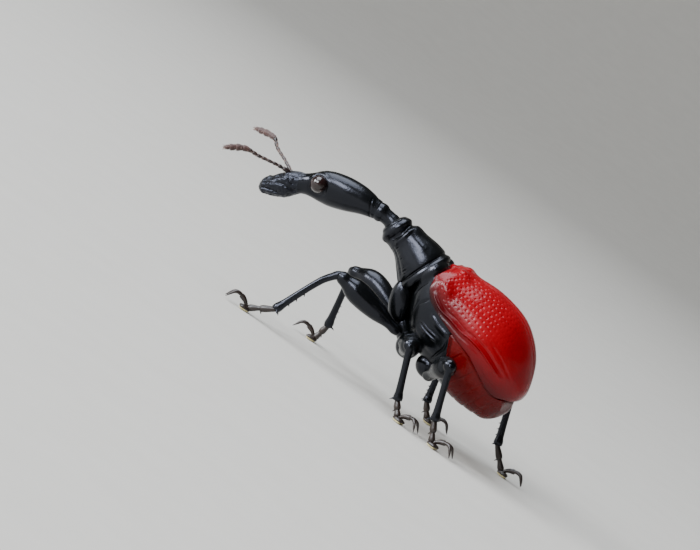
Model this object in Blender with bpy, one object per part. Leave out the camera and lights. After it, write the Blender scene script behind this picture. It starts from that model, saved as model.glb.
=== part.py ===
# Giraffe weevil, a female: a long-headed beetle that stands on six legs, at life size.
# It faces -X with its left side towards -Y, and its soles lie in the plane z = 0.
import math

import bmesh
import bpy
from mathutils import Matrix, Vector

MM = 0.001

# Where pieces meet and how finely they are made
GAP = 0.2 * MM              # space between two pieces that meet
BODY_SIDES = 24             # flats round the head and thorax
LIMB_SIDES = 10             # flats round a leg or feeler
LEAST_RADIUS = 0.25 * MM    # half of the least thickness of legs and feelers
WELD = 0.001 * MM           # points nearer than this are joined after a cut or union

# Pose: the body leans to its left side, and the head a little more
BODY_LEAN = math.radians(10)
LEAN_HEIGHT = 3.0 * MM
HEAD_TWIST = math.radians(6)

# Head: its axis runs from the snout's tip up and back to the neck
SNOUT_TIP = Vector((-2.35, 0, 4.60)) * MM
HEAD_PITCH = math.radians(22.5)
# Each row: distance from the tip, top, bottom and half width about the head's axis, in mm
HEAD_ROWS = (
    (0.34, 0.36, -0.20, 0.34),   # front of the mouth
    (0.46, 0.47, -0.25, 0.42),
    (0.85, 0.73, -0.28, 0.50),   # swelling of the snout
    (1.25, 0.92, -0.23, 0.50),   # where the feelers stand
    (1.60, 0.97, -0.05, 0.42),
    (1.90, 0.97, 0.07, 0.40),    # waist of the snout
    (2.30, 1.09, 0.02, 0.45),
    (2.75, 1.26, -0.12, 0.50),   # brow, between the eyes
    (3.20, 1.31, -0.22, 0.60),
    (3.90, 1.21, -0.26, 0.66),   # back of the head
    (4.60, 0.98, -0.25, 0.58),
    (5.10, 0.70, -0.29, 0.47),
    (5.50, 0.46, -0.38, 0.40),   # nape
)
HEAD_RINGS = 22
NAPE = Vector((5.22, 0, 0.14)) * MM   # on the cut between head and neck
NAPE_TURN = math.radians(16.5)         # of that cut's normal, below the head's axis

# Grooves on each side of the head, as distance along the axis, half width and height, in mm
MOUTH_LINE = ((0.20, 0.36, 0.10), (0.52, 0.46, 0.10), (0.90, 0.52, 0.02))
FEELER_GROOVE = ((0.92, 0.46, 0.46), (1.20, 0.53, 0.30), (1.62, 0.46, 0.12))
GROOVE_RADIUS = 0.055 * MM

# Jaws, at the snout's tip
JAW_LENGTH = 0.20 * MM
JAW_HEIGHT = 0.36 * MM
JAW_WIDTH = 0.20 * MM

# Eyes: round domes on the sides of the head
EYE_PLACE = Vector((2.68, 0, 0.72)) * MM
EYE_RADIUS = 0.38 * MM
EYE_BULGE = 0.34 * MM

# Neck: the short tube between head and prothorax
NECK_RADIUS = 0.40 * MM
NECK_SWELL = 0.05 * MM

# Prothorax: front lobe, groove and cone, about an axis that runs down and back
PROTHORAX_FRONT = Vector((3.35, 0, 6.55)) * MM
PROTHORAX_PITCH = math.radians(-22.6)
PROTHORAX_LENGTH = 2.60 * MM
PROTHORAX_ROWS = (
    (0.00, 0.50, -0.38, 0.46),   # front rim
    (0.12, 0.71, -0.48, 0.60),
    (0.34, 0.82, -0.62, 0.67),   # front lobe
    (0.54, 0.77, -0.62, 0.60),   # groove behind the lobe
    (0.74, 0.97, -0.57, 0.68),
    (1.20, 1.06, -0.52, 0.80),
    (1.80, 1.24, -0.74, 1.00),
    (2.26, 1.31, -0.98, 1.12),
    (2.38, 1.28, -0.99, 1.09),   # groove before the hind rim
    (2.50, 1.36, -1.08, 1.18),
    (2.60, 1.34, -1.08, 1.17),   # hind rim
)
PROTHORAX_STEPS = (0.0, 0.05, 0.12, 0.22, 0.34, 0.45, 0.54, 0.63, 0.74, 0.95, 1.2, 1.5, 1.8, 2.05,
                   2.26, 2.38, 2.50, 2.60)

# Hind body: wing cases over thorax and abdomen, about an axis that runs down and back
HIND_BASE = Vector((6.55, 0, 6.70)) * MM
HIND_PITCH = math.radians(-28.5)
WING_CASE_THICKNESS = 0.45 * MM
WING_CASE_START = 0.24 * MM
WING_CASE_END = 6.46 * MM
# Each row: distance from the base, ridge height, half width and height of the side edge, in mm
WING_ROWS = (
    (0.24, 0.16, 1.44, -0.62),
    (0.44, 0.40, 1.66, -0.86),
    (0.70, 0.56, 1.78, -1.00),
    (1.10, 0.74, 1.88, -1.08),
    (2.00, 1.24, 2.02, -0.98),
    (3.00, 1.57, 2.16, -0.76),
    (3.75, 1.66, 2.20, -0.62),
    (4.60, 1.50, 2.12, -0.62),
    (5.30, 1.20, 1.86, -0.70),
    (5.80, 0.82, 1.50, -0.64),
    (6.20, 0.42, 1.04, -0.36),
    (6.46, 0.02, 0.44, -0.14),
)
WING_RINGS = 18
WING_STRIPS = 8
WING_SQUARENESS = 2.15
# Lengthwise grooves and the side keel, as shares of the way from ridge to side edge
WING_GROOVES = (0.10, 0.22, 0.34, 0.46, 0.58, 0.70)
GROOVE_DEPTH = 0.06 * MM
GROOVE_SHARE = 0.022
KEEL_HEIGHT = 0.07 * MM
KEEL_FRONT = 0.945
KEEL_BACK = 0.80

# Underside: each row gives the distance from the base, the bottom and the half width, in mm
THORAX_ROWS = (
    (-0.40, -1.60, 1.12),
    (0.10, -1.95, 1.26),
    (1.00, -2.62, 1.62),
    (1.60, -2.92, 1.78),
    (2.00, -3.00, 1.86),
    (3.00, -3.04, 1.98),
    (4.00, -2.86, 2.02),
    (5.00, -2.64, 1.94),
    (5.60, -2.40, 1.60),
)
ABDOMEN_ROWS = (
    (0.60, -2.40, 1.70),
    (2.00, -2.60, 1.95),
    (3.00, -2.72, 2.05),
    (4.00, -2.74, 2.10),
    (5.00, -2.62, 1.94),
    (5.60, -2.40, 1.62),
    (6.10, -2.16, 1.24),
    (6.45, -1.95, 0.84),
    (6.64, -1.62, 0.48),
)
BELLY_CREASES = (4.60, 5.10, 5.56, 5.96)
CREASE_DEPTH = 0.05
CREASE_REACH = 0.07
ROOF_GAP = 0.30 * MM
WAIST_POINT = Vector((3.70, 0, -1.69)) * MM   # on the cut between thorax and abdomen
WAIST_SLOPE = math.radians(52.7)              # of that cut's normal above the hind axis
TAIL_POINT = Vector((6.56, 0, -0.42)) * MM      # on the last plate, which slants
TAIL_SLOPE = math.radians(-19)
TAIL_TIP = Vector((6.76, 0, -1.15)) * MM
UNDER_RINGS = 14
UNDER_STRIPS = 6

# Hips: one ellipsoid each, given on the body's middle plane and a distance to its side
HIPS = {
    "front": (Vector((5.62, 0.54, 4.12)) * MM, Vector((0.50, 0.46, 1.00)) * MM, -22),
    "middle": (Vector((6.98, 0.80, 2.86)) * MM, Vector((0.55, 0.54, 0.62)) * MM, 0),
    "hind": (Vector((8.24, 0.86, 2.62)) * MM, Vector((0.62, 0.58, 0.54)) * MM, 0),
}

# Legs on the floor's frame, in mm: joints, middle of the sole, and the claws' heading in degrees
LEGS = {
    "front_left": {
        "hip": (6.06, -1.10, 2.98), "knee": (3.09, -2.00, 3.56), "ankle": (1.62, -2.40, 0.80),
        "sole": (0.52, -2.50), "heading": -164, "femur_rise": 0.0, "shin_rise": 0.42,
    },
    "front_right": {
        "hip": (6.00, 0.98, 3.10), "knee": (2.70, 1.90, 3.62), "ankle": (2.98, 3.00, 0.98),
        "sole": (2.66, 3.10), "heading": -176, "femur_rise": 0.36, "shin_rise": 0.06,
    },
    "middle_left": {
        "hip": (7.05, -1.26, 2.50), "knee": (7.42, -3.20, 2.94), "ankle": (8.26, -3.05, 0.76),
        "sole": (8.78, -3.15), "heading": -16, "femur_rise": 0.1, "shin_rise": 0.0,
    },
    "middle_right": {
        "hip": (7.12, 1.34, 2.84), "knee": (8.12, 2.85, 2.62), "ankle": (8.50, 2.90, 0.80),
        "sole": (9.02, 3.02), "heading": 16, "femur_rise": 0.2, "shin_rise": 0.0,
    },
    "hind_left": {
        "hip": (8.52, -1.38, 2.24), "knee": (9.34, -3.50, 3.26), "ankle": (10.08, -3.30, 1.00),
        "sole": (10.60, -3.36), "heading": -10, "femur_rise": 0.1, "shin_rise": 0.0,
    },
    "hind_right": {
        "hip": (8.70, 1.50, 2.52), "knee": (11.26, 3.28, 3.48), "ankle": (12.10, 3.20, 1.02),
        "sole": (12.98, 3.24), "heading": 4, "femur_rise": 0.12, "shin_rise": 0.0,
    },
}
FEMUR_RADII = {"front": 0.55 * MM, "middle": 0.46 * MM, "hind": 0.50 * MM}
SPUR_LENGTH = 0.26 * MM
SPUR_RADIUS = 0.09 * MM
LOBE_RADII = Vector((0.30, 0.21, 0.25)) * MM
LOBE_SPREAD = 0.17 * MM
LOBE_HEIGHT = 0.15 * MM
CLAW_SPREAD = 0.20 * MM
CLAW_REACH = 0.98 * MM

# Feelers: root, bends and tip, on the floor's frame, in mm
FEELERS = {
    "left": ((-1.36, -0.46, 5.70), (-2.12, -0.88, 5.78), (-2.96, -1.20, 5.66), (-3.60, -1.46, 5.60),
             (-4.42, -1.76, 5.09)),
    "right": ((-1.36, 0.10, 5.80), (-2.25, 0.52, 6.02), (-2.93, 0.84, 6.26), (-3.38, 1.14, 6.52),
              (-4.54, 1.70, 6.33)),
}

FEELER_BEADS = 11
FEELER_BEAD = 0.28 * MM
FEELER_WAIST = 0.22 * MM
FEELER_TIP = 0.08 * MM

CUTICLE = ("cuticle_black", "0E1112", 0.28)
WING_RED = ("wing_case_red", "A0060C", 0.22)
BELLY_BROWN = ("abdomen_red_brown", "3A0A06", 0.30)
EYE_BROWN = ("eye_dark_brown", "241010", 0.12)
FEELER_BROWN = ("feeler_brown", "3A1C14", 0.45)
FOOT_BROWN = ("foot_brown", "33261A", 0.45)


def srgb_to_linear(code):
    channels = []
    for start in (0, 2, 4):
        value = int(code[start:start + 2], 16) / 255
        if value <= 0.04045:
            channels.append(value / 12.92)
        else:
            channels.append(((value + 0.055) / 1.055) ** 2.4)
    return (*channels, 1.0)


def principled(piece, finish):
    label, code, roughness = finish
    material = bpy.data.materials.new(f"{piece}_{label}")
    material.use_nodes = True
    shader = material.node_tree.nodes["Principled BSDF"]
    shader.inputs["Base Color"].default_value = srgb_to_linear(code)
    shader.inputs["Roughness"].default_value = roughness
    shader.inputs["Metallic"].default_value = 0.0
    material.diffuse_color = srgb_to_linear(code)
    return material


def new_object(name, mesh_data, frame, finish):
    piece = bpy.data.objects.new(name, mesh_data)
    bpy.context.scene.collection.objects.link(piece)
    piece.matrix_world = frame
    if finish:
        mesh_data.materials.append(principled(name, finish))
    return piece


# One smooth curve through rows of numbers, read at one distance
def row_at(rows, place):
    index = 0
    while index < len(rows) - 2 and place > rows[index + 1][0]:
        index += 1
    here, there = rows[index], rows[index + 1]
    before = rows[max(index - 1, 0)]
    after = rows[min(index + 2, len(rows) - 1)]
    span = there[0] - here[0]
    t = min(max((place - here[0]) / span, 0.0), 1.0)
    values = []
    for column in range(1, len(here)):
        leave = (there[column] - before[column]) / (there[0] - before[0]) * span
        arrive = (after[column] - here[column]) / (after[0] - here[0]) * span
        values.append(
            (2 * t ** 3 - 3 * t ** 2 + 1) * here[column]
            + (t ** 3 - 2 * t ** 2 + t) * leave
            + (3 * t ** 2 - 2 * t ** 3) * there[column]
            + (t ** 3 - t ** 2) * arrive
        )
    return values


# Distances from start to end, closer together near both ends
def eased_steps(start, end, count):
    steps = []
    for index in range(count + 1):
        steps.append(start + (end - start) * (1 - math.cos(math.pi * index / count)) / 2)
    return steps


def even_steps(start, end, count):
    return [start + (end - start) * index / count for index in range(count + 1)]


# A rounded square outline: power 2 is an ellipse, more is squarer
def squared_ring(half_width, half_height, sides, power=2.0):
    points = []
    for index in range(sides):
        angle = 2 * math.pi * index / sides
        side, rise = math.sin(angle), math.cos(angle)
        y = half_width * math.copysign(abs(side) ** (2 / power), side)
        z = half_height * math.copysign(abs(rise) ** (2 / power), rise)
        points.append((y, z))
    return points


# A closed skin over rings of equal length, with a fan to a point at each end
def skin(name, rings, frame, finish, start=None, end=None):
    bm = bmesh.new()
    loops = [[bm.verts.new(point) for point in ring] for ring in rings]
    count = len(rings[0])
    for lower, upper in zip(loops, loops[1:]):
        for index in range(count):
            following = (index + 1) % count
            bm.faces.new((lower[index], lower[following], upper[following], upper[index]))
    for loop, tip in ((loops[0], start), (loops[-1], end)):
        if tip is None:
            bm.faces.new(loop)
            continue
        point = bm.verts.new(tip)
        for index in range(count):
            bm.faces.new((loop[index], loop[(index + 1) % count], point))
    bmesh.ops.recalc_face_normals(bm, faces=bm.faces)
    return finish_mesh(name, bm, frame, finish)


def finish_mesh(name, bm, frame, finish):
    mesh_data = bpy.data.meshes.new(name)
    bm.to_mesh(mesh_data)
    bm.free()
    shade_round(mesh_data)
    return new_object(name, mesh_data, frame, finish)


def shade_round(mesh_data):
    mesh_data.shade_smooth()
    mesh_data.set_sharp_from_angle(angle=math.radians(40))


# Cuts a piece with a plane, drops what lies beyond it and closes the cut with a flat face
def trim(piece, point, normal):
    inverse = piece.matrix_world.inverted()
    bm = bmesh.new()
    bm.from_mesh(piece.data)
    cut = bmesh.ops.bisect_plane(
        bm, geom=bm.verts[:] + bm.edges[:] + bm.faces[:], dist=1e-9,
        plane_co=inverse @ point, plane_no=inverse.to_3x3() @ normal, clear_outer=True,
    )
    edges = [item for item in cut["geom_cut"] if isinstance(item, bmesh.types.BMEdge)]
    bmesh.ops.contextual_create(bm, geom=edges)
    bmesh.ops.recalc_face_normals(bm, faces=bm.faces)
    bm.to_mesh(piece.data)
    bm.free()
    shade_round(piece.data)


# Keeps only the largest closed surface of a mesh
def keep_largest(mesh_data):
    bm = bmesh.new()
    bm.from_mesh(mesh_data)
    unseen = set(bm.verts)
    islands = []
    while unseen:
        island = set()
        queue = [unseen.pop()]
        while queue:
            vertex = queue.pop()
            island.add(vertex)
            for edge in vertex.link_edges:
                other = edge.other_vert(vertex)
                if other in unseen:
                    unseen.discard(other)
                    queue.append(other)
        islands.append(island)
    islands.sort(key=len)
    for island in islands[:-1]:
        bmesh.ops.delete(bm, geom=list(island), context="VERTS")
    bmesh.ops.remove_doubles(bm, verts=bm.verts, dist=WELD)
    bmesh.ops.dissolve_degenerate(bm, edges=bm.edges, dist=WELD)
    bmesh.ops.triangulate(bm, faces=bm.faces)
    bm.to_mesh(mesh_data)
    bm.free()


# Applies one Boolean on a collection of closed meshes, and removes them
def combine(piece, others, operation):
    group = bpy.data.collections.new(f"{piece.name}_tools")
    for other in others:
        group.objects.link(other)
    modifier = piece.modifiers.new("combine", "BOOLEAN")
    modifier.operation = operation
    modifier.operand_type = "COLLECTION"
    modifier.collection = group
    modifier.solver = "EXACT"
    bpy.context.view_layer.update()
    graph = bpy.context.evaluated_depsgraph_get()
    result = bpy.data.meshes.new_from_object(piece.evaluated_get(graph))
    old = piece.data
    piece.modifiers.clear()
    piece.data = result
    result.name = piece.name
    bpy.data.meshes.remove(old)
    for other in others:
        bpy.data.objects.remove(other)
    bpy.data.collections.remove(group)
    keep_largest(result)
    shade_round(result)


def frame_at(origin, pitch):
    return Matrix.Translation(origin) @ Matrix.Rotation(-pitch, 4, "Y")


LEAN = (
    Matrix.Translation((0, 0, LEAN_HEIGHT))
    @ Matrix.Rotation(BODY_LEAN, 4, "X")
    @ Matrix.Translation((0, 0, -LEAN_HEIGHT))
)
HEAD_FRAME = LEAN @ frame_at(SNOUT_TIP, HEAD_PITCH) @ Matrix.Rotation(HEAD_TWIST, 4, "X")
PROTHORAX_FRAME = LEAN @ frame_at(PROTHORAX_FRONT, PROTHORAX_PITCH)
HIND_FRAME = LEAN @ frame_at(HIND_BASE, HIND_PITCH)


# Rings of a body piece whose rows give top, bottom and half width
def body_rings(rows, places, power, grow=0.0):
    rings = []
    for place in places:
        top, bottom, half_width = row_at(rows, place / MM)
        middle = (top + bottom) / 2 * MM
        half_height = (top - bottom) / 2 * MM + grow
        ring = squared_ring(half_width * MM + grow, half_height, BODY_SIDES, power)
        rings.append([Vector((place, y, middle + z)) for y, z in ring])
    return rings


def head_skin(name, finish, grow=0.0):
    places = eased_steps(HEAD_ROWS[0][0] * MM, HEAD_ROWS[-1][0] * MM, HEAD_RINGS)
    rings = body_rings(HEAD_ROWS, places, 2.1, grow)
    if grow:
        rings[0] = [point - Vector((grow, 0, 0)) for point in rings[0]]
    return skin(name, rings, HEAD_FRAME, finish)


def nape_normal():
    return HEAD_FRAME.to_3x3() @ Matrix.Rotation(NAPE_TURN, 3, "Y") @ Vector((1, 0, 0))


def make_head():
    head = head_skin("head", CUTICLE)
    cutters = []
    for sign in (-1, 1):
        for route in (MOUTH_LINE, FEELER_GROOVE):
            line = [HEAD_FRAME @ (Vector((x, sign * y, z)) * MM) for x, y, z in route]
            radii = ((0.0, GROOVE_RADIUS), (1.0, GROOVE_RADIUS))
            cutters.append(limb("groove", line, radii, None, count=6, sides=6))
    combine(head, cutters, "DIFFERENCE")
    trim(head, HEAD_FRAME @ NAPE - nape_normal() * GAP / 2, nape_normal())
    return head


def make_jaw(side, sign):
    start = HEAD_ROWS[0][0] * MM - GAP
    rings = []
    for step in even_steps(0.0, 1.0, 4):
        taper = 1 - 0.72 * step ** 2
        across = sign * (GAP / 2 + JAW_WIDTH * (1 - 0.5 * taper))
        centre = Vector((start - JAW_LENGTH * step, across, 0.06 * MM))
        ring = squared_ring(JAW_WIDTH / 2 * taper, JAW_HEIGHT / 2 * taper, 8)
        rings.append([centre + Vector((0, y, z)) for y, z in ring])
    return skin(f"jaw_{side}", rings, HEAD_FRAME, CUTICLE)


def make_eye(side, sign):
    half_width = row_at(HEAD_ROWS, EYE_PLACE.x / MM)[2] * MM
    centre = EYE_PLACE + Vector((0, sign * (half_width + GAP), 0))
    radii = Vector((EYE_RADIUS, EYE_BULGE, EYE_RADIUS))
    turn = HEAD_FRAME.to_3x3().to_4x4()
    eye = ball(f"eye_{side}", HEAD_FRAME @ centre, radii, turn, EYE_BROWN)
    combine(eye, [head_skin("grown_head", None, GAP)], "DIFFERENCE")
    return eye


def make_neck():
    top, bottom = PROTHORAX_ROWS[0][1:3]
    end = PROTHORAX_FRAME @ Vector((0, 0, (top + bottom) / 2 * MM))
    start = HEAD_FRAME @ NAPE
    leave = nape_normal()
    arrive = PROTHORAX_FRAME.to_3x3() @ Vector((1, 0, 0))
    side = LEAN.to_3x3() @ Vector((0, 1, 0))
    rings = []
    for step in even_steps(-0.4, 1.4, 12):
        centre = start.lerp(end, step)
        heading = leave.lerp(arrive, min(max(step, 0.0), 1.0)).normalized()
        rise = heading.cross(side).normalized()
        radius = NECK_RADIUS + NECK_SWELL * math.sin(2 * math.pi * step) ** 2
        ring = squared_ring(radius, radius, BODY_SIDES)
        rings.append([centre - side * y - rise * z for y, z in ring])
    neck = skin("neck", rings, Matrix.Identity(4), CUTICLE)
    trim(neck, start + leave * GAP / 2, -leave)
    trim(neck, end - arrive * GAP, arrive)
    return neck


def prothorax_skin(name, finish, grow=0.0):
    places = [step * MM for step in PROTHORAX_STEPS]
    rings = body_rings(PROTHORAX_ROWS, places, 2.1, grow)
    if grow:
        rings[0] = [point - Vector((grow, 0, 0)) for point in rings[0]]
        rings[-1] = [point + Vector((grow, 0, 0)) for point in rings[-1]]
    return skin(name, rings, PROTHORAX_FRAME, finish)


# A point of the wing cases' outer surface, pressed inwards by a depth, from ridge to side edge
def wing_point(place, share, depth, seam):
    ridge, half_width, edge = row_at(WING_ROWS, place / MM)
    angle = math.pi / 2 * share
    across = math.sin(angle) ** (2 / WING_SQUARENESS)
    up = math.cos(angle) ** (2 / WING_SQUARENESS)
    width = max(half_width * MM - depth, 0.02 * MM)
    height = max((ridge - edge) * MM - depth, 0.02 * MM)
    return seam + (width - seam) * across, edge * MM + height * up


# Where the side keel runs, as a share of the way from ridge to side edge
def keel_share(place):
    return KEEL_FRONT + (KEEL_BACK - KEEL_FRONT) * (place / WING_CASE_END) ** 2


# Shares and depths across a wing case: flat land, grooves and the keel
def wing_relief(place):
    along = place / WING_CASE_END
    fade = max(0.0, 1 - along ** 3)
    relief = [(0.0, 0.0)]
    for groove in WING_GROOVES:
        relief.append((groove - GROOVE_SHARE, 0.0))
        relief.append((groove, GROOVE_DEPTH * fade))
        relief.append((groove + GROOVE_SHARE, 0.0))
    keel = keel_share(place)
    relief.append((keel - GROOVE_SHARE, 0.0))
    relief.append((keel, -KEEL_HEIGHT * fade))
    relief.append((keel + GROOVE_SHARE, 0.0))
    relief.append((1.0, 0.0))
    return relief


def make_wing_case(side, sign):
    length = WING_CASE_END - WING_CASE_START
    rings = []
    for place in eased_steps(WING_CASE_START, WING_CASE_END, WING_RINGS):
        inner_place = WING_CASE_START + (place - WING_CASE_START) * (1 - WING_CASE_THICKNESS / length)
        ring = []
        for share, depth in wing_relief(place):
            y, z = wing_point(place, share, depth, GAP / 2)
            ring.append(Vector((place, sign * y, z)))
        for share in reversed(even_steps(0.0, 1.0, WING_STRIPS)):
            y, z = wing_point(inner_place, share, WING_CASE_THICKNESS, GAP / 2)
            ring.append(Vector((inner_place, sign * y, z)))
        rings.append(ring)
    return skin(f"wing_case_{side}", rings, HIND_FRAME, WING_RED)


# Rings under the wing cases: their inner side above, the body's own side and bottom below
def under_rings(rows, places, grow=0.0):
    depth = WING_CASE_THICKNESS + ROOF_GAP - grow
    tail_wall = WING_CASE_END - WING_CASE_THICKNESS - GAP
    rings = []
    for place in places:
        bottom, half_width = row_at(rows, place / MM)
        if rows is ABDOMEN_ROWS and min(abs(place / MM - crease) for crease in BELLY_CREASES) < 0.001:
            bottom += CREASE_DEPTH
            half_width -= CREASE_DEPTH
        bottom = bottom * MM - grow
        half_width = half_width * MM + grow
        edge = row_at(WING_ROWS, max(place, WING_CASE_START) / MM)[2] * MM
        ledge = edge - GAP + grow
        half = []
        for share in even_steps(0.0, 1.0, UNDER_STRIPS):
            y, z = wing_point(max(place, WING_CASE_START), share, depth, 0.0)
            z = ledge if place > tail_wall else z + (ledge - edge) * share
            half.append((min(y, half_width - 0.02 * MM), z))
        for share in even_steps(0.0, 1.0, UNDER_STRIPS):
            angle = math.pi / 2 * share
            y = half_width * math.cos(angle) ** (2 / 2.4)
            half.append((y, ledge + (bottom - ledge) * math.sin(angle) ** (2 / 2.2)))
        ring = [Vector((place, y, z)) for y, z in half]
        ring += [Vector((place, -y, z)) for y, z in reversed(half[1:-1])]
        rings.append(ring)
    return rings


def thorax_skin(name, finish, grow=0.0):
    places = even_steps(THORAX_ROWS[0][0] * MM, THORAX_ROWS[-1][0] * MM, UNDER_RINGS)
    piece = skin(name, under_rings(THORAX_ROWS, places, grow), HIND_FRAME, finish)
    normal = waist_normal()
    trim(piece, waist_point() + normal * (grow - GAP / 2), normal)
    front = PROTHORAX_FRAME @ Vector((PROTHORAX_LENGTH, 0, 0))
    heading = PROTHORAX_FRAME.to_3x3() @ Vector((1, 0, 0))
    trim(piece, front + heading * (GAP - grow), -heading)
    return piece


def waist_point():
    return HIND_FRAME @ WAIST_POINT


def waist_normal():
    return HIND_FRAME.to_3x3() @ Vector((math.cos(WAIST_SLOPE), 0, math.sin(WAIST_SLOPE)))


# Distances for the abdomen's rings, with three at each crease and two at the wing cases' end
def belly_places():
    places = eased_steps(ABDOMEN_ROWS[0][0], ABDOMEN_ROWS[-1][0], UNDER_RINGS)
    tail_wall = (WING_CASE_END - WING_CASE_THICKNESS - GAP) / MM
    places += [tail_wall - 0.02, tail_wall + 0.02]
    for crease in BELLY_CREASES:
        places = [place for place in places if abs(place - crease) > 1.6 * CREASE_REACH]
        places += [crease - CREASE_REACH, crease, crease + CREASE_REACH]
    return [place * MM for place in sorted(places)]


def abdomen_skin(name, finish, grow=0.0):
    rings = under_rings(ABDOMEN_ROWS, belly_places(), grow)
    piece = skin(name, rings, HIND_FRAME, finish, end=TAIL_TIP)
    normal = waist_normal()
    trim(piece, waist_point() + normal * (GAP / 2 - grow), -normal)
    tail = HIND_FRAME.to_3x3() @ Matrix.Rotation(TAIL_SLOPE, 3, "Y") @ Vector((1, 0, 0))
    trim(piece, HIND_FRAME @ TAIL_POINT + tail * grow, tail)
    return piece


def ball(name, centre, radii, turn, finish, grow=0.0, sides=14):
    bm = bmesh.new()
    bmesh.ops.create_uvsphere(bm, u_segments=sides, v_segments=round(sides * 0.65), radius=1.0)
    size = Matrix.Diagonal((*(radii + Vector((grow, grow, grow))), 1.0))
    bmesh.ops.transform(bm, matrix=size, verts=bm.verts)
    frame = Matrix.Translation(centre) @ turn
    return finish_mesh(name, bm, frame, finish)


def make_hip(leg, cutters):
    part, side = leg.split("_")
    sign = -1 if side == "left" else 1
    centre, radii, slant = HIPS[part]
    place = LEAN @ Vector((centre.x, sign * centre.y, centre.z))
    turn = LEAN.to_3x3().to_4x4() @ Matrix.Rotation(math.radians(slant), 4, "Y")
    hip = ball(f"hip_{leg}", place, radii, turn, CUTICLE)
    combine(hip, cutters, "DIFFERENCE")
    middle = LEAN @ Vector((0, sign * GAP / 2, LEAN_HEIGHT))
    trim(hip, middle, LEAN.to_3x3() @ Vector((0, -sign, 0)))
    return hip


# A limb along a smooth line, whose rows give the share of its length and its radius
def limb(name, line, radii, finish, count=12, sides=LIMB_SIDES, flat=1.0):
    rows = []
    travelled = 0.0
    for index, point in enumerate(line):
        if index:
            travelled += (point - line[index - 1]).length
        rows.append((travelled, *point))
    centres = []
    for step in even_steps(0.0, 1.0, count):
        centres.append((step, Vector(row_at(rows, travelled * step))))
    side = None
    rings = []
    for index, (step, centre) in enumerate(centres):
        before = centres[max(index - 1, 0)][1]
        after = centres[min(index + 1, count)][1]
        heading = (after - before).normalized()
        if side is None:
            side = heading.cross(Vector((0, 0, 1)))
        side = (side - heading * side.dot(heading)).normalized()
        rise = side.cross(heading)
        radius = row_at(radii, step)[0]
        ring = squared_ring(radius, radius * flat, sides)
        rings.append([centre + side * y + rise * z for y, z in ring])
    return skin(name, rings, Matrix.Identity(4), finish)


def bisector(joint, before, after):
    return ((after - joint).normalized() - (before - joint).normalized()).normalized()


def make_leg(leg, hip_piece):
    part = leg.split("_")[0]
    plan = LEGS[leg]
    hip, knee, ankle = [Vector(plan[joint]) * MM for joint in ("hip", "knee", "ankle")]
    sole = Vector((*plan["sole"], 0)) * MM
    toe = sole + Vector((0, 0, LOBE_HEIGHT))
    root = bisector(hip, hip_piece.matrix_world.translation, knee)
    bend = bisector(knee, hip, ankle)
    heel = bisector(ankle, knee, toe)
    femur = make_femur(leg, hip, knee, FEMUR_RADII[part])
    trim(femur, knee - bend * GAP / 2, bend)
    trim(femur, hip + root * GAP / 2, -root)
    if part == "hind":
        grown = [thorax_skin("grown", None, GAP), abdomen_skin("grown", None, GAP)]
        combine(femur, grown, "DIFFERENCE")
    trim(hip_piece, hip - root * GAP / 2, root)
    tibia = make_tibia(leg, knee, ankle)
    trim(tibia, knee + bend * GAP / 2, -bend)
    foot = make_foot(leg, ankle, sole)
    trim(foot, ankle + heel * GAP / 2, -heel)


def make_femur(leg, hip, knee, thick):
    axis = (knee - hip).normalized()
    rise = Vector((0, 0, LEGS[leg]["femur_rise"])) * MM
    line = (hip - axis * 0.1 * MM, hip.lerp(knee, 0.3) + rise * 0.6, hip.lerp(knee, 0.68) + rise,
            knee + axis * 0.15 * MM)
    radii = ((0.0, 0.29 * MM), (0.12, 0.34 * MM), (0.35, thick * 0.82), (0.6, thick),
             (0.80, thick * 0.82), (0.94, 0.34 * MM), (1.0, 0.26 * MM))
    return limb(f"femur_{leg}", line, radii, CUTICLE, count=12, sides=12)


def make_tibia(leg, knee, ankle):
    shin = (ankle - knee).normalized()
    rise = Vector((0, 0, LEGS[leg]["shin_rise"])) * MM
    line = (knee - shin * 0.12 * MM, knee.lerp(ankle, 0.4) + rise, ankle)
    radii = ((0.0, 0.27 * MM), (0.15, LEAST_RADIUS), (0.8, LEAST_RADIUS), (1.0, 0.29 * MM))
    tibia = limb(f"tibia_{leg}", line, radii, CUTICLE, count=8)
    toe = Vector((*LEGS[leg]["sole"], LOBE_HEIGHT / MM)) * MM
    heel = bisector(ankle, knee, toe)
    side = heel.cross(Vector((0, 0, 1))).normalized()
    trim(tibia, ankle - heel * GAP / 2, heel)
    spurs = []
    for sign in (-1, 1):
        root = ankle - shin * 0.34 * MM + side * sign * 0.16 * MM
        tip = root + (shin * 0.8 + side * sign * 0.62).normalized() * (SPUR_LENGTH + 0.1 * MM)
        radii = ((0.0, SPUR_RADIUS), (1.0, SPUR_RADIUS * 0.2))
        spurs.append(limb("spur", (root, tip), radii, None, count=1, sides=6))
    combine(tibia, spurs, "UNION")
    return tibia


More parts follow.
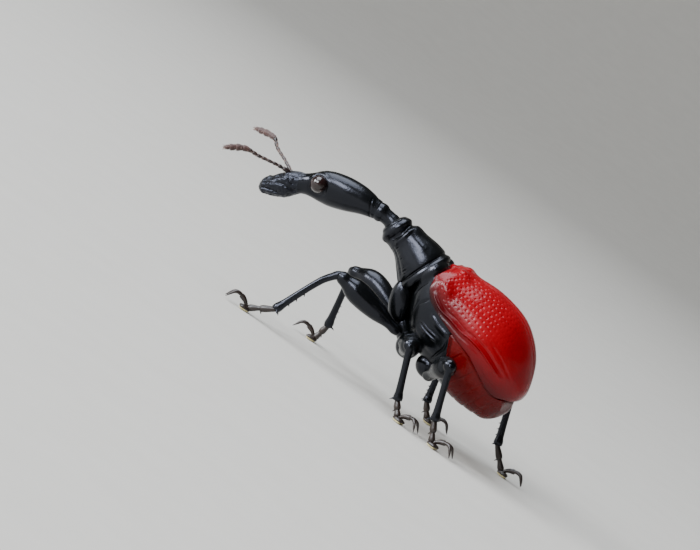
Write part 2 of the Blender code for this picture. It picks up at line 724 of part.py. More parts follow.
# A foot: two short joints, a two-lobed pad flat on the floor, and a bent joint with two claws
def make_foot(leg, ankle, sole):
    turn = math.radians(LEGS[leg]["heading"])
    heading = Vector((math.cos(turn), math.sin(turn), 0))
    across = Vector((-heading.y, heading.x, 0))
    up = Vector((0, 0, 1))
    toe = sole + up * (LEAST_RADIUS - 0.03 * MM)
    middle = ankle.lerp(toe, 0.52)
    step = (toe - ankle).normalized()
    cone = ((0.0, 0.24 * MM), (0.75, 0.29 * MM), (1.0, 0.26 * MM))
    foot = limb(f"foot_{leg}", (ankle - step * 0.06 * MM, middle), cone, FOOT_BROWN, count=4, sides=8)
    cone = ((0.0, 0.22 * MM), (0.75, 0.27 * MM), (1.0, 0.2 * MM))
    parts = [limb("joint", (middle - step * 0.09 * MM, toe), cone, None, count=4, sides=8)]
    for sign in (-1, 1):
        centre = sole + across * sign * LOBE_SPREAD + up * LOBE_HEIGHT
        frame = Matrix.Rotation(turn, 4, "Z")
        parts.append(ball("lobe", centre, LOBE_RADII, frame, None, sides=10))
    root = sole + up * 0.24 * MM
    bend = sole + heading * CLAW_REACH * 0.42 + up * 0.60 * MM
    line = (root, root.lerp(bend, 0.55) + up * 0.07 * MM, bend)
    parts.append(limb("claw_joint", line, ((0.0, 0.22 * MM), (1.0, LEAST_RADIUS)), None, count=4, sides=8))
    for sign in (-1, 1):
        tip = sole + heading * CLAW_REACH + across * sign * CLAW_SPREAD * 1.3 + up * 0.08 * MM
        crest = sole + heading * CLAW_REACH * 0.78 + across * sign * CLAW_SPREAD + up * 0.52 * MM
        start = bend - heading * 0.16 * MM + across * sign * 0.05 * MM
        radii = ((0.0, 0.18 * MM), (0.5, 0.14 * MM), (1.0, 0.03 * MM))
        parts.append(limb("claw", (start, crest, tip), radii, None, count=5, sides=6))
    combine(foot, parts, "UNION")
    trim(foot, Vector((0, 0, 0)), Vector((0, 0, -1)))
    return foot


def make_feeler(side):
    line = [Vector(point) * MM for point in FEELERS[side]]
    radii = []
    for bead in range(FEELER_BEADS):
        start = bead / FEELER_BEADS
        radii.append((start, FEELER_WAIST))
        radii.append((start + 0.6 / FEELER_BEADS, FEELER_BEAD))
    radii.append((1.0, FEELER_TIP))
    feeler = limb(f"feeler_{side}", line, radii, FEELER_BROWN, count=3 * FEELER_BEADS, sides=8)
    combine(feeler, [head_skin("grown_head", None, GAP)], "DIFFERENCE")
    return feeler


def set_origin_under_middle():
    corners = []
    for piece in bpy.data.objects:
        for vertex in piece.data.vertices:
            corners.append(piece.matrix_world @ vertex.co)
    middle_x = (min(c.x for c in corners) + max(c.x for c in corners)) / 2
    middle_y = (min(c.y for c in corners) + max(c.y for c in corners)) / 2
    for piece in bpy.data.objects:
        piece.matrix_world = Matrix.Translation((-middle_x, -middle_y, 0)) @ piece.matrix_world


for leftover in list(bpy.data.objects):
    bpy.data.objects.remove(leftover)

make_head()
make_neck()
prothorax_skin("prothorax", CUTICLE)
thorax_skin("thorax", CUTICLE)
abdomen_skin("abdomen", BELLY_BROWN)
for body_side, body_sign in (("left", -1), ("right", 1)):
    make_jaw(body_side, body_sign)
    make_eye(body_side, body_sign)
    make_wing_case(body_side, body_sign)
    make_feeler(body_side)
for leg_name in LEGS:
    grown = [prothorax_skin("grown_prothorax", None, GAP), thorax_skin("grown_thorax", None, GAP)]
    hip_piece = make_hip(leg_name, grown)
    make_leg(leg_name, hip_piece)
set_origin_under_middle()
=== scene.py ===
# Giraffe weevil: fine shapes, finishes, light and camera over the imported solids.
# All sizes in the settings are millimetres unless a note says otherwise.
import math
import random

import bpy
from mathutils import Matrix, Vector
from mathutils.bvhtree import BVHTree
from mathutils.kdtree import KDTree


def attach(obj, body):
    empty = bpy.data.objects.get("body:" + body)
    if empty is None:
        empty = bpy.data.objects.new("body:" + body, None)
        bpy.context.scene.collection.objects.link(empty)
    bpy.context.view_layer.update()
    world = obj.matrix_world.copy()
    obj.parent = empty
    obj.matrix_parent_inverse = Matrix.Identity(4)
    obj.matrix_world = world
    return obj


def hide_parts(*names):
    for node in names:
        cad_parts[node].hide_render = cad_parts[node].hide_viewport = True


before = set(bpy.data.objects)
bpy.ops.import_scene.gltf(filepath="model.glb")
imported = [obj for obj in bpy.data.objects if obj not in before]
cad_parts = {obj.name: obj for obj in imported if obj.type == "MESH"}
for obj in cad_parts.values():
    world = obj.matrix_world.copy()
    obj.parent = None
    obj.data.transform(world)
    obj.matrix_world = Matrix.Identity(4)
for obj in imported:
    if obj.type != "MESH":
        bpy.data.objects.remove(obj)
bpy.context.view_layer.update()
mm = 0.001
print("solids loaded:", len(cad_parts))


# Where the parts of the body stand, as in the solids
originShift = Vector((-4.71394, 0.10096, 0.0))
bodyLean = (
    Matrix.Translation(originShift)
    @ Matrix.Translation((0, 0, 3)) @ Matrix.Rotation(math.radians(10), 4, "X")
    @ Matrix.Translation((0, 0, -3))
)


def axisFrame(origin, pitch):
    return bodyLean @ Matrix.Translation(origin) @ Matrix.Rotation(math.radians(-pitch), 4, "Y")


headFrame = axisFrame((-2.35, 0, 4.60), 22.5) @ Matrix.Rotation(math.radians(6), 4, "X")
chestFrame = axisFrame((3.35, 0, 6.55), -22.6)
hindFrame = axisFrame((6.55, 0, 6.70), -28.5)
floorFrame = Matrix.Translation(originShift)


# Camera: 10 degrees round, 5 up, and rolled, because the sloping ground in view is a flat floor here
cameraSet = {"around": 10, "above": 5, "roll": 34.5, "millimetresPerPixel": 0.043, "pictureWide": 700,
             "filmWide": 36, "away": 150, "target": (3.035, 0, 3.64), "near": 5, "far": 20000}


def makeCamera():
    turn, rise, roll = [math.radians(cameraSet[key]) for key in ("around", "above", "roll")]
    across = Vector((math.cos(turn), math.sin(turn), 0))
    back = Vector((math.sin(turn) * math.cos(rise), -math.cos(turn) * math.cos(rise), math.sin(rise)))
    upright = back.cross(across)
    right = math.cos(roll) * across + math.sin(roll) * upright
    upward = -math.sin(roll) * across + math.cos(roll) * upright
    target = floorFrame @ Vector(cameraSet["target"])
    bpy.ops.object.camera_add()
    camera = bpy.context.object
    camera.name = "studio_camera"
    viewWide = cameraSet["pictureWide"] * cameraSet["millimetresPerPixel"]
    camera.data.sensor_width = cameraSet["filmWide"]
    camera.data.lens = cameraSet["filmWide"] * cameraSet["away"] / viewWide
    camera.data.clip_start = cameraSet["near"] * mm
    camera.data.clip_end = cameraSet["far"] * mm
    place = Matrix((right, upward, back)).transposed().to_4x4()
    place.translation = (target + back * cameraSet["away"]) * mm
    camera.matrix_world = place
    bpy.context.scene.camera = camera
    return right, upward, back, target


viewRight, viewUp, viewBack, viewTarget = makeCamera()
print("camera placed")


# Modelling helpers
def clearSelection():
    if bpy.context.mode != "OBJECT":
        bpy.ops.object.mode_set(mode="OBJECT")
    bpy.ops.object.select_all(action="DESELECT")


def pick(piece):
    clearSelection()
    piece.select_set(True)
    bpy.context.view_layer.objects.active = piece


# Turns the active piece's faces outwards, and welds the points that meet if asked
def faceOutward(weld=False):
    bpy.ops.object.mode_set(mode="EDIT")
    bpy.ops.mesh.select_all(action="SELECT")
    if weld:
        bpy.ops.mesh.remove_doubles(threshold=1e-7)
    bpy.ops.mesh.normals_make_consistent(inside=False)
    bpy.ops.object.mode_set(mode="OBJECT")


# A point of one frame, as the floor's frame has it
def fromFloor(place, point):
    return floorFrame.inverted() @ (place @ Vector(point))


# A piece's faces in millimetres, to throw points onto
def surfaceOf(piece):
    return BVHTree.FromPolygons([vertex.co / mm for vertex in piece.data.vertices],
                                [tuple(face.vertices) for face in piece.data.polygons])


# One smooth curve through rows of numbers, read at one distance
def smoothRow(rows, place):
    index = 0
    while index < len(rows) - 2 and place > rows[index + 1][0]:
        index += 1
    here, there = rows[index], rows[index + 1]
    before, after = rows[max(index - 1, 0)], rows[min(index + 2, len(rows) - 1)]
    span = there[0] - here[0]
    t = min(max((place - here[0]) / span, 0.0), 1.0)
    values = []
    for column in range(1, len(here)):
        leave = (there[column] - before[column]) / (there[0] - before[0]) * span
        arrive = (after[column] - here[column]) / (after[0] - here[0]) * span
        values.append((2 * t ** 3 - 3 * t ** 2 + 1) * here[column] + (t ** 3 - 2 * t ** 2 + t) * leave
                      + (3 * t ** 2 - 2 * t ** 3) * there[column] + (t ** 3 - t ** 2) * arrive)
    return values


def smoothLine(points, count):
    rows, travelled = [], 0.0
    for index, point in enumerate(points):
        if index:
            travelled += (Vector(point) - Vector(points[index - 1])).length
        rows.append((travelled, *point))
    return [Vector(smoothRow(rows, travelled * step / count)) for step in range(count + 1)]


# A grid is added and its points are moved onto rows of points; a welded one is a tube or a body
def bendGrid(name, rows, place, weld=True):
    clearSelection()
    long, wide = len(rows) - 1, len(rows[0]) - 1
    bpy.ops.mesh.primitive_grid_add(x_subdivisions=long, y_subdivisions=wide, size=2)
    piece = bpy.context.object
    piece.name = name
    piece.data.name = name
    for vertex in piece.data.vertices:
        along = round((vertex.co.x + 1) / 2 * long)
        around = round((vertex.co.y + 1) / 2 * wide)
        vertex.co = (place @ rows[along][around]) * mm
    piece.data.uv_layers[0].name = "surface"
    faceOutward(weld)
    bpy.ops.object.shade_smooth()
    return piece


# Points round a rounded square, closed: power 2 is an ellipse, more is squarer
def ringPoints(halfWide, halfHigh, sides, power=2.0):
    points = []
    for index in range(sides + 1):
        angle = 2 * math.pi * (index % sides) / sides
        side, rise = math.sin(angle), math.cos(angle)
        points.append((halfWide * math.copysign(abs(side) ** (2 / power), side),
                       halfHigh * math.copysign(abs(rise) ** (2 / power), rise)))
    return points


# A closed tube along a smooth line, its radii given by share of the length
def makeTube(name, line, radii, place=floorFrame, rows=24, sides=16, flat=1.0, upright=(0, 0, 1)):
    centres = smoothLine(line, rows)
    rings, side = [], None
    for index, centre in enumerate(centres):
        heading = (centres[min(index + 1, rows)] - centres[max(index - 1, 0)]).normalized()
        side = heading.cross(Vector(upright)) if side is None else side
        side = (side - heading * side.dot(heading)).normalized()
        rise = side.cross(heading)
        radius = smoothRow(radii, index / rows)[0]
        rings.append([centre + side * y + rise * z for y, z in ringPoints(radius, radius * flat, sides)])
    first, last = [centres[0]] * (sides + 1), [centres[-1]] * (sides + 1)
    return bendGrid(name, [first] + rings + [last], place)


def makeBall(name, centre, radii, place, rows=16, sides=24, turn=0.0):
    clearSelection()
    bpy.ops.mesh.primitive_uv_sphere_add(segments=sides, ring_count=rows, radius=1)
    ball = bpy.context.object
    ball.name = name
    ball.data.name = name
    size = Matrix.Rotation(turn, 4, "Z") @ Matrix.Diagonal((*radii, 1))
    for vertex in ball.data.vertices:
        vertex.co = (place @ (Vector(centre) + size @ vertex.co)) * mm
    bpy.ops.object.shade_smooth()
    return ball


def joinPieces(name, pieces):
    clearSelection()
    for piece in pieces:
        piece.select_set(True)
    bpy.context.view_layer.objects.active = pieces[0]
    bpy.ops.object.join()
    joined = bpy.context.object
    joined.name = name
    joined.data.name = name
    return joined


def applyModifier(piece, kind, **settings):
    pick(piece)
    bpy.ops.object.modifier_add(type=kind)
    modifier = piece.modifiers[-1]
    for key, value in settings.items():
        setattr(modifier, key, value)
    bpy.ops.object.modifier_apply(modifier=modifier.name)


# Which way a route drawn beside a piece is thrown onto it, and from how far off
throwWays = {"left": (0, 1, 0), "right": (0, -1, 0), "top": (0, 0, -1), "under": (0, 0, 1),
             "front": (1, 0, 0)}
throwFrom = 6


def throwOnto(surface, place, route, throw, mirrored):
    turn = place.to_3x3()
    landed = []
    for mirror in ((1, -1) if mirrored else (1,)):
        for point in route:
            spot = Vector((point[0], point[1] * mirror, point[2]))
            if throw == "nearest":
                landed.append(surface.find_nearest(place @ spot)[0])
                continue
            x, y, z = throwWays[throw]
            way = Vector((x, y * mirror, z))
            hit = surface.ray_cast(place @ (spot - way * throwFrom), turn @ way)[0]
            if hit:
                landed.append(hit)
    return landed


# A stroke's route: along and up on a side, along and out on the back or below, out and up in front
def strokeOn(throw, width, height, *points, fade=True):
    if throw == "left":
        route = [(along, 0, up) for along, up in points]
    elif throw == "front":
        route = [(0, out, up) for out, up in points]
    else:
        route = [(along, out, 0) for along, out in points]
    return {"throw": throw, "width": width, "height": height, "route": route, "fade": fade}


# A stroke round the places given, wherever the skin is nearest
def strokeNear(width, height, route):
    return {"throw": "nearest", "width": width, "height": height, "route": route, "fade": True}


# A stroke's step as a share of its width, and how fast and from what it swells at its ends
brushSet = {"step": 0.2, "swell": 5, "start": 0.15}


# Strokes press grooves and raise ridges, as a sculptor's brush does
def sculpt(piece, place, strokes, mirrored=True):
    vertices = piece.data.vertices
    surface = surfaceOf(piece)
    tree = KDTree(len(vertices))
    for vertex in vertices:
        tree.insert(vertex.co / mm, vertex.index)
    tree.balance()
    moves = {}
    for stroke in strokes:
        route = stroke["route"]
        if len(route) > 1:
            length = sum((Vector(b) - Vector(a)).length for a, b in zip(route, route[1:]))
            route = smoothLine(route, max(int(length / (stroke["width"] * brushSet["step"])), 4))
        marks = throwOnto(surface, place, route, stroke["throw"], mirrored)
        pressed = {}
        for number, mark in enumerate(marks):
            share = (number % len(route)) / max(len(route) - 1, 1)
            fade = 1.0
            if stroke["fade"] and len(route) > 1:
                fade = min(1.0, brushSet["swell"] * min(share, 1 - share) + brushSet["start"])
            for _, index, distance in tree.find_range(mark, stroke["width"]):
                push = fade * (0.5 + 0.5 * math.cos(math.pi * distance / stroke["width"]))
                pressed[index] = max(pressed.get(index, 0.0), push)
        for index, push in pressed.items():
            moves[index] = moves.get(index, 0.0) + push * stroke["height"]
    normals = {index: vertices[index].normal.copy() for index in moves}
    for index, height in moves.items():
        vertices[index].co += normals[index] * height * mm
    piece.data.update()


# Degrees round the quarter circle at which a rounded end has its rings
capAngles = (20, 40, 60, 75, 90)


# A body part from rows of distance, top, bottom and half width, with rounded ends
def makeBody(name, rows, place, long, wide, power=2.1, startCap=0.0, endCap=0.0):
    first, last = rows[0][0], rows[-1][0]
    rings = []
    for step in range(long + 1):
        along = first + (last - first) * step / long
        top, bottom, halfWide = smoothRow(rows, along)
        middle, halfHigh = (top + bottom) / 2, (top - bottom) / 2
        rings.append([Vector((along, y, middle + z)) for y, z in ringPoints(halfWide, halfHigh, wide, power)])
    for cap, ring, sign in ((startCap, rings[0], -1), (endCap, rings[-1], 1)):
        middle = sum(ring[:-1], Vector()) / wide
        extra = []
        for angle in capAngles:
            shrink, reach = math.cos(math.radians(angle)), cap * math.sin(math.radians(angle)) * sign
            extra.append([middle + (point - middle) * shrink + Vector((reach, 0, 0)) for point in ring])
        rings = extra[::-1] + rings if sign < 0 else rings + extra
    return bendGrid(name, rings, place)


# Materials
def linearColour(code):
    channels = []
    for start in (0, 2, 4):
        value = int(code[start:start + 2], 16) / 255
        channels.append(value / 12.92 if value <= 0.04045 else ((value + 0.055) / 1.055) ** 2.4)
    return (*channels, 1.0)


# Adds a node with its settings; inputs take a value or another node's output
def addNode(tree, kind, inputs=(), **settings):
    node = tree.nodes.new(kind)
    for key, value in settings.items():
        setattr(node, key, value)
    for key, value in dict(inputs).items():
        if isinstance(value, bpy.types.NodeSocket):
            tree.links.new(value, node.inputs[key])
        else:
            node.inputs[key].default_value = value
    return node


def colourSteps(tree, factor, steps):
    ramp = addNode(tree, "ShaderNodeValToRGB", {"Fac": factor})
    while len(ramp.color_ramp.elements) < len(steps):
        ramp.color_ramp.elements.new(0.5)
    for element, (position, code) in zip(ramp.color_ramp.elements, steps):
        element.position = position
        element.color = linearColour(code)
    return ramp.outputs["Color"]


def newMaterial(name, shine):
    material = bpy.data.materials.new(name)
    material.use_nodes = True
    tree = material.node_tree
    shader = tree.nodes["Principled BSDF"]
    for key, value in shine.items():
        shader.inputs[key].default_value = linearColour(value) if isinstance(value, str) else value
    return material, tree, shader


def addNoise(tree, place, size, **inputs):
    scale = {"Vector": place, "Scale": 1 / (size * mm)}
    return addNode(tree, "ShaderNodeTexNoise", {**scale, **inputs}).outputs["Fac"]


def addRange(tree, value, low, high, start=0.0, end=1.0):
    return addNode(tree, "ShaderNodeMapRange", {"Value": value, "From Min": low, "From Max": high,
                                                "To Min": start, "To Max": end}).outputs["Result"]


def addBump(tree, height, strength, deep, **inputs):
    size = {"Height": height, "Strength": strength, "Distance": deep * mm}
    return addNode(tree, "ShaderNodeBump", {**size, **inputs}).outputs["Normal"]


# Skin of every shell: the noise that its gloss follows, and how deep and ragged pits and grain are
skinSet = {"cloudRange": (0.3, 0.7), "pitScatter": 0.9, "pitEdge": 0.45, "pitDeep": 0.03, "grainDeep": 0.02}


# Shell as an insect grows it: clear, hard outer layers over a pigmented one, so it shines twice
def shellMaterial(name, settings):
    material, tree, shader = newMaterial(name, settings["shine"])
    place = addNode(tree, "ShaderNodeTexCoord").outputs["Object"]
    cloud = addNoise(tree, place, settings["cloud"], Detail=4.0, Roughness=0.6)
    colour = colourSteps(tree, cloud, settings["colours"])
    if "deep" in settings:
        # painted shade: darker colour towards the lower edge, standing in for the shade that falls on the
        # lower side
        code, low, high = settings["deep"]
        upright = hindFrame.to_3x3() @ Vector((0, 0, 1))
        zero = upright.dot(hindFrame.translation)
        height = addNode(tree, "ShaderNodeVectorMath", {0: place, 1: upright}, operation="DOT_PRODUCT")
        share = addRange(tree, height.outputs["Value"], (zero + low) * mm, (zero + high) * mm)
        colour = addNode(tree, "ShaderNodeMix", {0: share, 6: linearColour(code), 7: colour},
                         data_type="RGBA").outputs[2]
    tree.links.new(colour, shader.inputs["Base Color"])
    rough = addRange(tree, cloud, *skinSet["cloudRange"], *settings["rough"])
    tree.links.new(rough, shader.inputs["Roughness"])
    (pitSize, pitStrength), (grainSize, grainStrength) = settings["pits"], settings["grain"]
    cells = addNode(tree, "ShaderNodeTexVoronoi", {"Vector": place, "Scale": 1 / (pitSize * mm),
                                                   "Randomness": skinSet["pitScatter"]})
    pit = addRange(tree, cells.outputs["Distance"], 0.0, skinSet["pitEdge"])
    grain = addNoise(tree, place, grainSize, Detail=3.0)
    bump = addBump(tree, grain, grainStrength, skinSet["grainDeep"])
    bump = addBump(tree, pit, pitStrength, skinSet["pitDeep"], Normal=bump)
    tree.links.new(bump, shader.inputs["Normal"])
    return material


# Sizes of cloud, pits and grain in millimetres; pits and grain with their strength
finishes = {
    # Black shell of head, chest and legs: near-black pigment under a clear satin layer
    "cuticleBlack": {
        "shine": {"IOR": 1.5, "Specular IOR Level": 0.36, "Specular Tint": "E6EAFF"},
        "cloud": 1.1, "colours": ((0.3, "020303"), (0.55, "050606"), (0.8, "0A0B0C")),
        "rough": (0.19, 0.28), "pits": (0.11, 0.08), "grain": (0.071, 0.12),
    },
    # Rough black of the snout's end: crowded pits, so the light breaks up into grey specks
    "snoutBlack": {
        "shine": {"IOR": 1.5, "Specular IOR Level": 0.42, "Specular Tint": "E0E6FF"},
        "cloud": 0.83, "colours": ((0.3, "030304"), (0.6, "08090A"), (0.8, "101214")),
        "rough": (0.26, 0.4), "pits": (0.14, 0.55), "grain": (0.067, 0.3),
    },
    # Red wing cases: clear red shell, with painted shade darkening it towards the lower edge
    "wingRed": {
        "shine": {"IOR": 1.5, "Coat Weight": 0.05, "Coat Roughness": 0.08, "Specular IOR Level": 0.22},
        "cloud": 2.4, "colours": ((0.25, "74000A"), (0.5, "8A010E"), (0.8, "980212")),
        # deep: the painted shade's colour, full at the first height and gone at the second, in millimetres
        # above the hind axis
        "deep": ("220002", -1.0, 0.35), "rough": (0.20, 0.30), "pits": (0.14, 0.06),
        "grain": (0.083, 0.05),
    },
    # Red-brown plates of the abdomen, smooth and a little see-through at the rims
    "bellyBrown": {
        "shine": {"IOR": 1.5, "Specular IOR Level": 0.2},
        "cloud": 1.4, "colours": ((0.3, "480001"), (0.55, "5A0102"), (0.8, "6A0303")),
        "rough": (0.2, 0.32), "pits": (0.12, 0.15), "grain": (0.071, 0.1),
    },
    # Eye: a smooth dark brown dome made of tiny six-sided lenses, drawn twice as coarse to show
    "eyeBrown": {
        "shine": {"IOR": 1.5, "Coat Weight": 0.6, "Coat Roughness": 0.05, "Specular IOR Level": 0.4},
        "cloud": 0.4, "colours": ((0.3, "0E0505"), (0.6, "1C0A0A"), (0.8, "2C1110")),
        "rough": (0.15, 0.22), "pits": (0.045, 0.12), "grain": (0.05, 0.02),
    },
    # Feelers: thin brown shell under very short down, so it looks dull
    "feelerBrown": {
        "shine": {"IOR": 1.54, "Coat Weight": 0.1, "Coat Roughness": 0.3},
        "cloud": 0.67, "colours": ((0.3, "100504"), (0.6, "1E0C09"), (0.8, "2E1611")),
        "rough": (0.32, 0.46), "pits": (0.083, 0.2), "grain": (0.05, 0.2),
    },
    # Clubs of the feelers: paler shell under close down, so they look like felt
    "clubBrown": {
        "shine": {"IOR": 1.54, "Sheen Weight": 0.6, "Sheen Roughness": 0.4},
        "cloud": 0.67, "colours": ((0.3, "2A120D"), (0.6, "3E1E17"), (0.8, "57342A")),
        "rough": (0.5, 0.65), "pits": (0.071, 0.3), "grain": (0.045, 0.4),
    },
    # Feet: dark brown shell, thin enough to look warm
    "footBrown": {
        "shine": {"IOR": 1.54, "Coat Weight": 0.15, "Coat Roughness": 0.25},
        "cloud": 0.67, "colours": ((0.3, "140B07"), (0.6, "22150E"), (0.8, "35241A")),
        "rough": (0.3, 0.45), "pits": (0.083, 0.2), "grain": (0.05, 0.2),
    },
    # Soles: a brush of tiny pale yellow hairs, matt
    "solePale": {
        "shine": {"IOR": 1.5, "Sheen Weight": 0.5, "Sheen Roughness": 0.5},
        "cloud": 0.4, "colours": ((0.3, "A89A68"), (0.6, "C9BD8A"), (0.8, "DED5AC")),
        "rough": (0.7, 0.85), "pits": (0.038, 0.6), "grain": (0.033, 0.5),
    },
    # Down on feelers and legs: pale, fine and dry
    "downPale": {
        "shine": {"IOR": 1.55, "Sheen Weight": 0.3},
        "cloud": 0.33, "colours": ((0.3, "6E5146"), (0.6, "866A5E"), (0.8, "A0877B")),
        "rough": (0.45, 0.6), "pits": (0.033, 0.1), "grain": (0.033, 0.1),
    },
}
madeMaterials = {}


def finishPiece(piece, finish, nodes=()):
    if finish not in madeMaterials:
        madeMaterials[finish] = shellMaterial(finish, finishes[finish])
    piece.data.materials.clear()
    piece.data.materials.append(madeMaterials[finish])
    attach(piece, "root")
    if nodes:
        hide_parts(*nodes)


# Head: one shell from the mouth to the nape
headSet = {
    "rows": ((0.00, 0.24, -0.18, 0.24), (0.07, 0.36, -0.24, 0.32), (0.20, 0.46, -0.28, 0.38),
             (0.46, 0.56, -0.30, 0.44), (0.67, 0.67, -0.31, 0.49), (0.85, 0.75, -0.29, 0.50),
             (1.25, 0.92, -0.23, 0.50), (1.60, 0.97, -0.05, 0.42),
             (1.90, 0.97, 0.07, 0.40), (2.30, 1.09, 0.02, 0.45), (2.75, 1.26, -0.12, 0.50),
             (3.20, 1.31, -0.22, 0.60), (3.90, 1.21, -0.26, 0.66), (4.60, 0.98, -0.25, 0.58),
             (5.05, 0.74, -0.29, 0.48), (5.16, 0.66, -0.31, 0.44), (5.24, 0.60, -0.32, 0.41),
             (5.45, 0.50, -0.34, 0.38)),
    "strokes": (
        # mouth line, from the jaws back along the snout's side
        strokeOn("left", 0.075, -0.07, (0.02, 0), (0.2, 0.04), (0.55, 0.06), (0.95, -0.02)),
        strokeOn("left", 0.1, 0.03, (0.1, -0.1), (0.6, -0.08), (1.1, -0.1)),
        strokeOn("left", 0.09, 0.03, (0.1, 0.16), (0.45, 0.26), (0.8, 0.3)),
        # lumps round the snout's end, where its bristles grow
        strokeOn("left", 0.1, 0.05, (0.14, 0.32), (0.2, 0.3)),
        strokeOn("left", 0.1, 0.04, (0.4, 0.4), (0.55, 0.42)),
        strokeOn("left", 0.09, 0.05, (0.16, -0.16), (0.26, -0.18)),
        strokeOn("left", 0.1, 0.04, (0.5, -0.2), (0.62, -0.2)),
        strokeOn("top", 0.12, 0.04, (0.3, 0.1), (0.34, 0.14)),
        strokeOn("left", 0.06, -0.03, (0.3, 0.36), (0.3, 0.1)),
        # edge of the mouth in front
        strokeOn("front", 0.07, -0.06, (0, 0), (0.12, 0), (0.2, 0), fade=False),
        # groove that the feeler folds into, below its socket
        strokeOn("left", 0.1, -0.07, (0.75, 0.42), (1.1, 0.42), (1.45, 0.28), (1.7, 0.2)),
        # socket of the feeler and its rim
        strokeOn("left", 0.13, -0.05, (1.02, 0.78)),
        strokeOn("left", 0.08, 0.03, (0.92, 0.66), (1.15, 0.62), (1.3, 0.74)),
        # brow over the eye and the ring round it
        strokeOn("left", 0.12, 0.05, (2.25, 0.86), (2.5, 1.1), (2.85, 1.14), (3.1, 0.98)),
        strokeOn("left", 0.09, -0.05, (2.24, 0.8), (2.3, 0.46), (2.62, 0.27), (2.95, 0.36), (3.1, 0.62)),
        # furrow along the middle of the snout and forehead
        strokeOn("top", 0.1, -0.05, (0.9, 0), (1.6, 0), (2.6, 0)),
        strokeOn("top", 0.1, 0.03, (0.5, 0.16), (1.1, 0.2), (1.9, 0.18)),
        # throat seam
        strokeOn("under", 0.06, -0.04, (0.5, 0.07), (1.3, 0.1), (2.2, 0.14)),
        # ring behind the head
        strokeOn("left", 0.07, -0.035, (5.1, -0.24), (5.12, 0.1), (5.1, 0.6), fade=False),
    ),
    # rough skin of the snout
    "bumps": {"seed": 3, "count": 130, "along": (0.05, 1.7), "up": (-0.3, 0.9), "width": (0.06, 0.11),
              "share": (0.4, 1), "height": 0.03},
    "grid": (190, 110), "squareness": 2.1, "caps": (0.04, 0.05), "snoutEnd": 1.75,
}


def makeHead():
    head = makeBody("head_shell", headSet["rows"], headFrame, *headSet["grid"], headSet["squareness"],
                    *headSet["caps"])
    strokes = list(headSet["strokes"])
    bumps = headSet["bumps"]
    draw = random.Random(bumps["seed"])
    for _ in range(bumps["count"]):
        spot = draw.uniform(*bumps["along"]), draw.uniform(*bumps["up"])
        width = draw.uniform(*bumps["width"])
        height = draw.choice((1, -1)) * draw.uniform(*bumps["share"]) * bumps["height"]
        strokes.append(strokeOn("left", width, height, spot))
    sculpt(head, headFrame, strokes)
    finishPiece(head, "cuticleBlack", ["head"])
    head.data.materials.append(shellMaterial("snoutBlack", finishes["snoutBlack"]))
    back = headFrame.inverted()
    for face in head.data.polygons:
        if (back @ (face.center / mm)).x < headSet["snoutEnd"]:
            face.material_index = 1


jawSet = {"line": ((0.3, 0.15, 0), (0.08, 0.17, 0), (0, 0.13, 0), (-0.07, 0.03, -0.01)),
          "radii": ((0, 0.11), (0.35, 0.105), (0.8, 0.05), (1, 0.012)), "flat": 1.2,
          "tooth": ((0.06, 0.14, 0.03), (-0.05, 0.08, 0.06)), "toothRadii": ((0, 0.07), (1, 0.012))}


def makeJaws():
    for side, sign in (("left", -1), ("right", 1)):
        line, tooth = [[(x, sign * y, z) for x, y, z in jawSet[key]] for key in ("line", "tooth")]
        parts = [makeTube("jaw", line, jawSet["radii"], headFrame, 20, 16, jawSet["flat"]),
                 makeTube("tooth", tooth, jawSet["toothRadii"], headFrame, 8, 10)]
        jaw = joinPieces(f"jaw_shell_{side}", parts)
        finishPiece(jaw, "cuticleBlack", [f"jaw_{side}"])


eyeSet = {"centre": (2.73, 0.56, 0.78), "radii": (0.375, 0.40, 0.375)}


def makeEyes():
    x, y, z = eyeSet["centre"]
    for side, sign in (("left", -1), ("right", 1)):
        eye = makeBall(f"eye_dome_{side}", (x, sign * y, z), eyeSet["radii"], headFrame, 32, 48)
        finishPiece(eye, "eyeBrown", [f"eye_{side}"])


makeHead()
makeJaws()
makeEyes()
print("head, jaws and eyes made")

# Neck: a short stalk with one swollen ring
neckSet = {"inHead": ((5.0, 0, 0.17), (5.4, 0, 0.06)), "inChest": ((-0.1, 0, 0.08), (0.35, 0, 0.05)),
           "radii": ((0, 0.34), (0.16, 0.36), (0.24, 0.40), (0.34, 0.425), (0.42, 0.40), (0.47, 0.355),
                     (0.62, 0.345), (0.72, 0.37), (0.86, 0.41), (1, 0.42))}


def makeNeck():
    line = [fromFloor(headFrame, point) for point in neckSet["inHead"]]
    line += [fromFloor(chestFrame, point) for point in neckSet["inChest"]]
    neck = makeTube("neck_stalk", line, neckSet["radii"], rows=60, sides=64)
    finishPiece(neck, "cuticleBlack", ["neck"])


makeNeck()

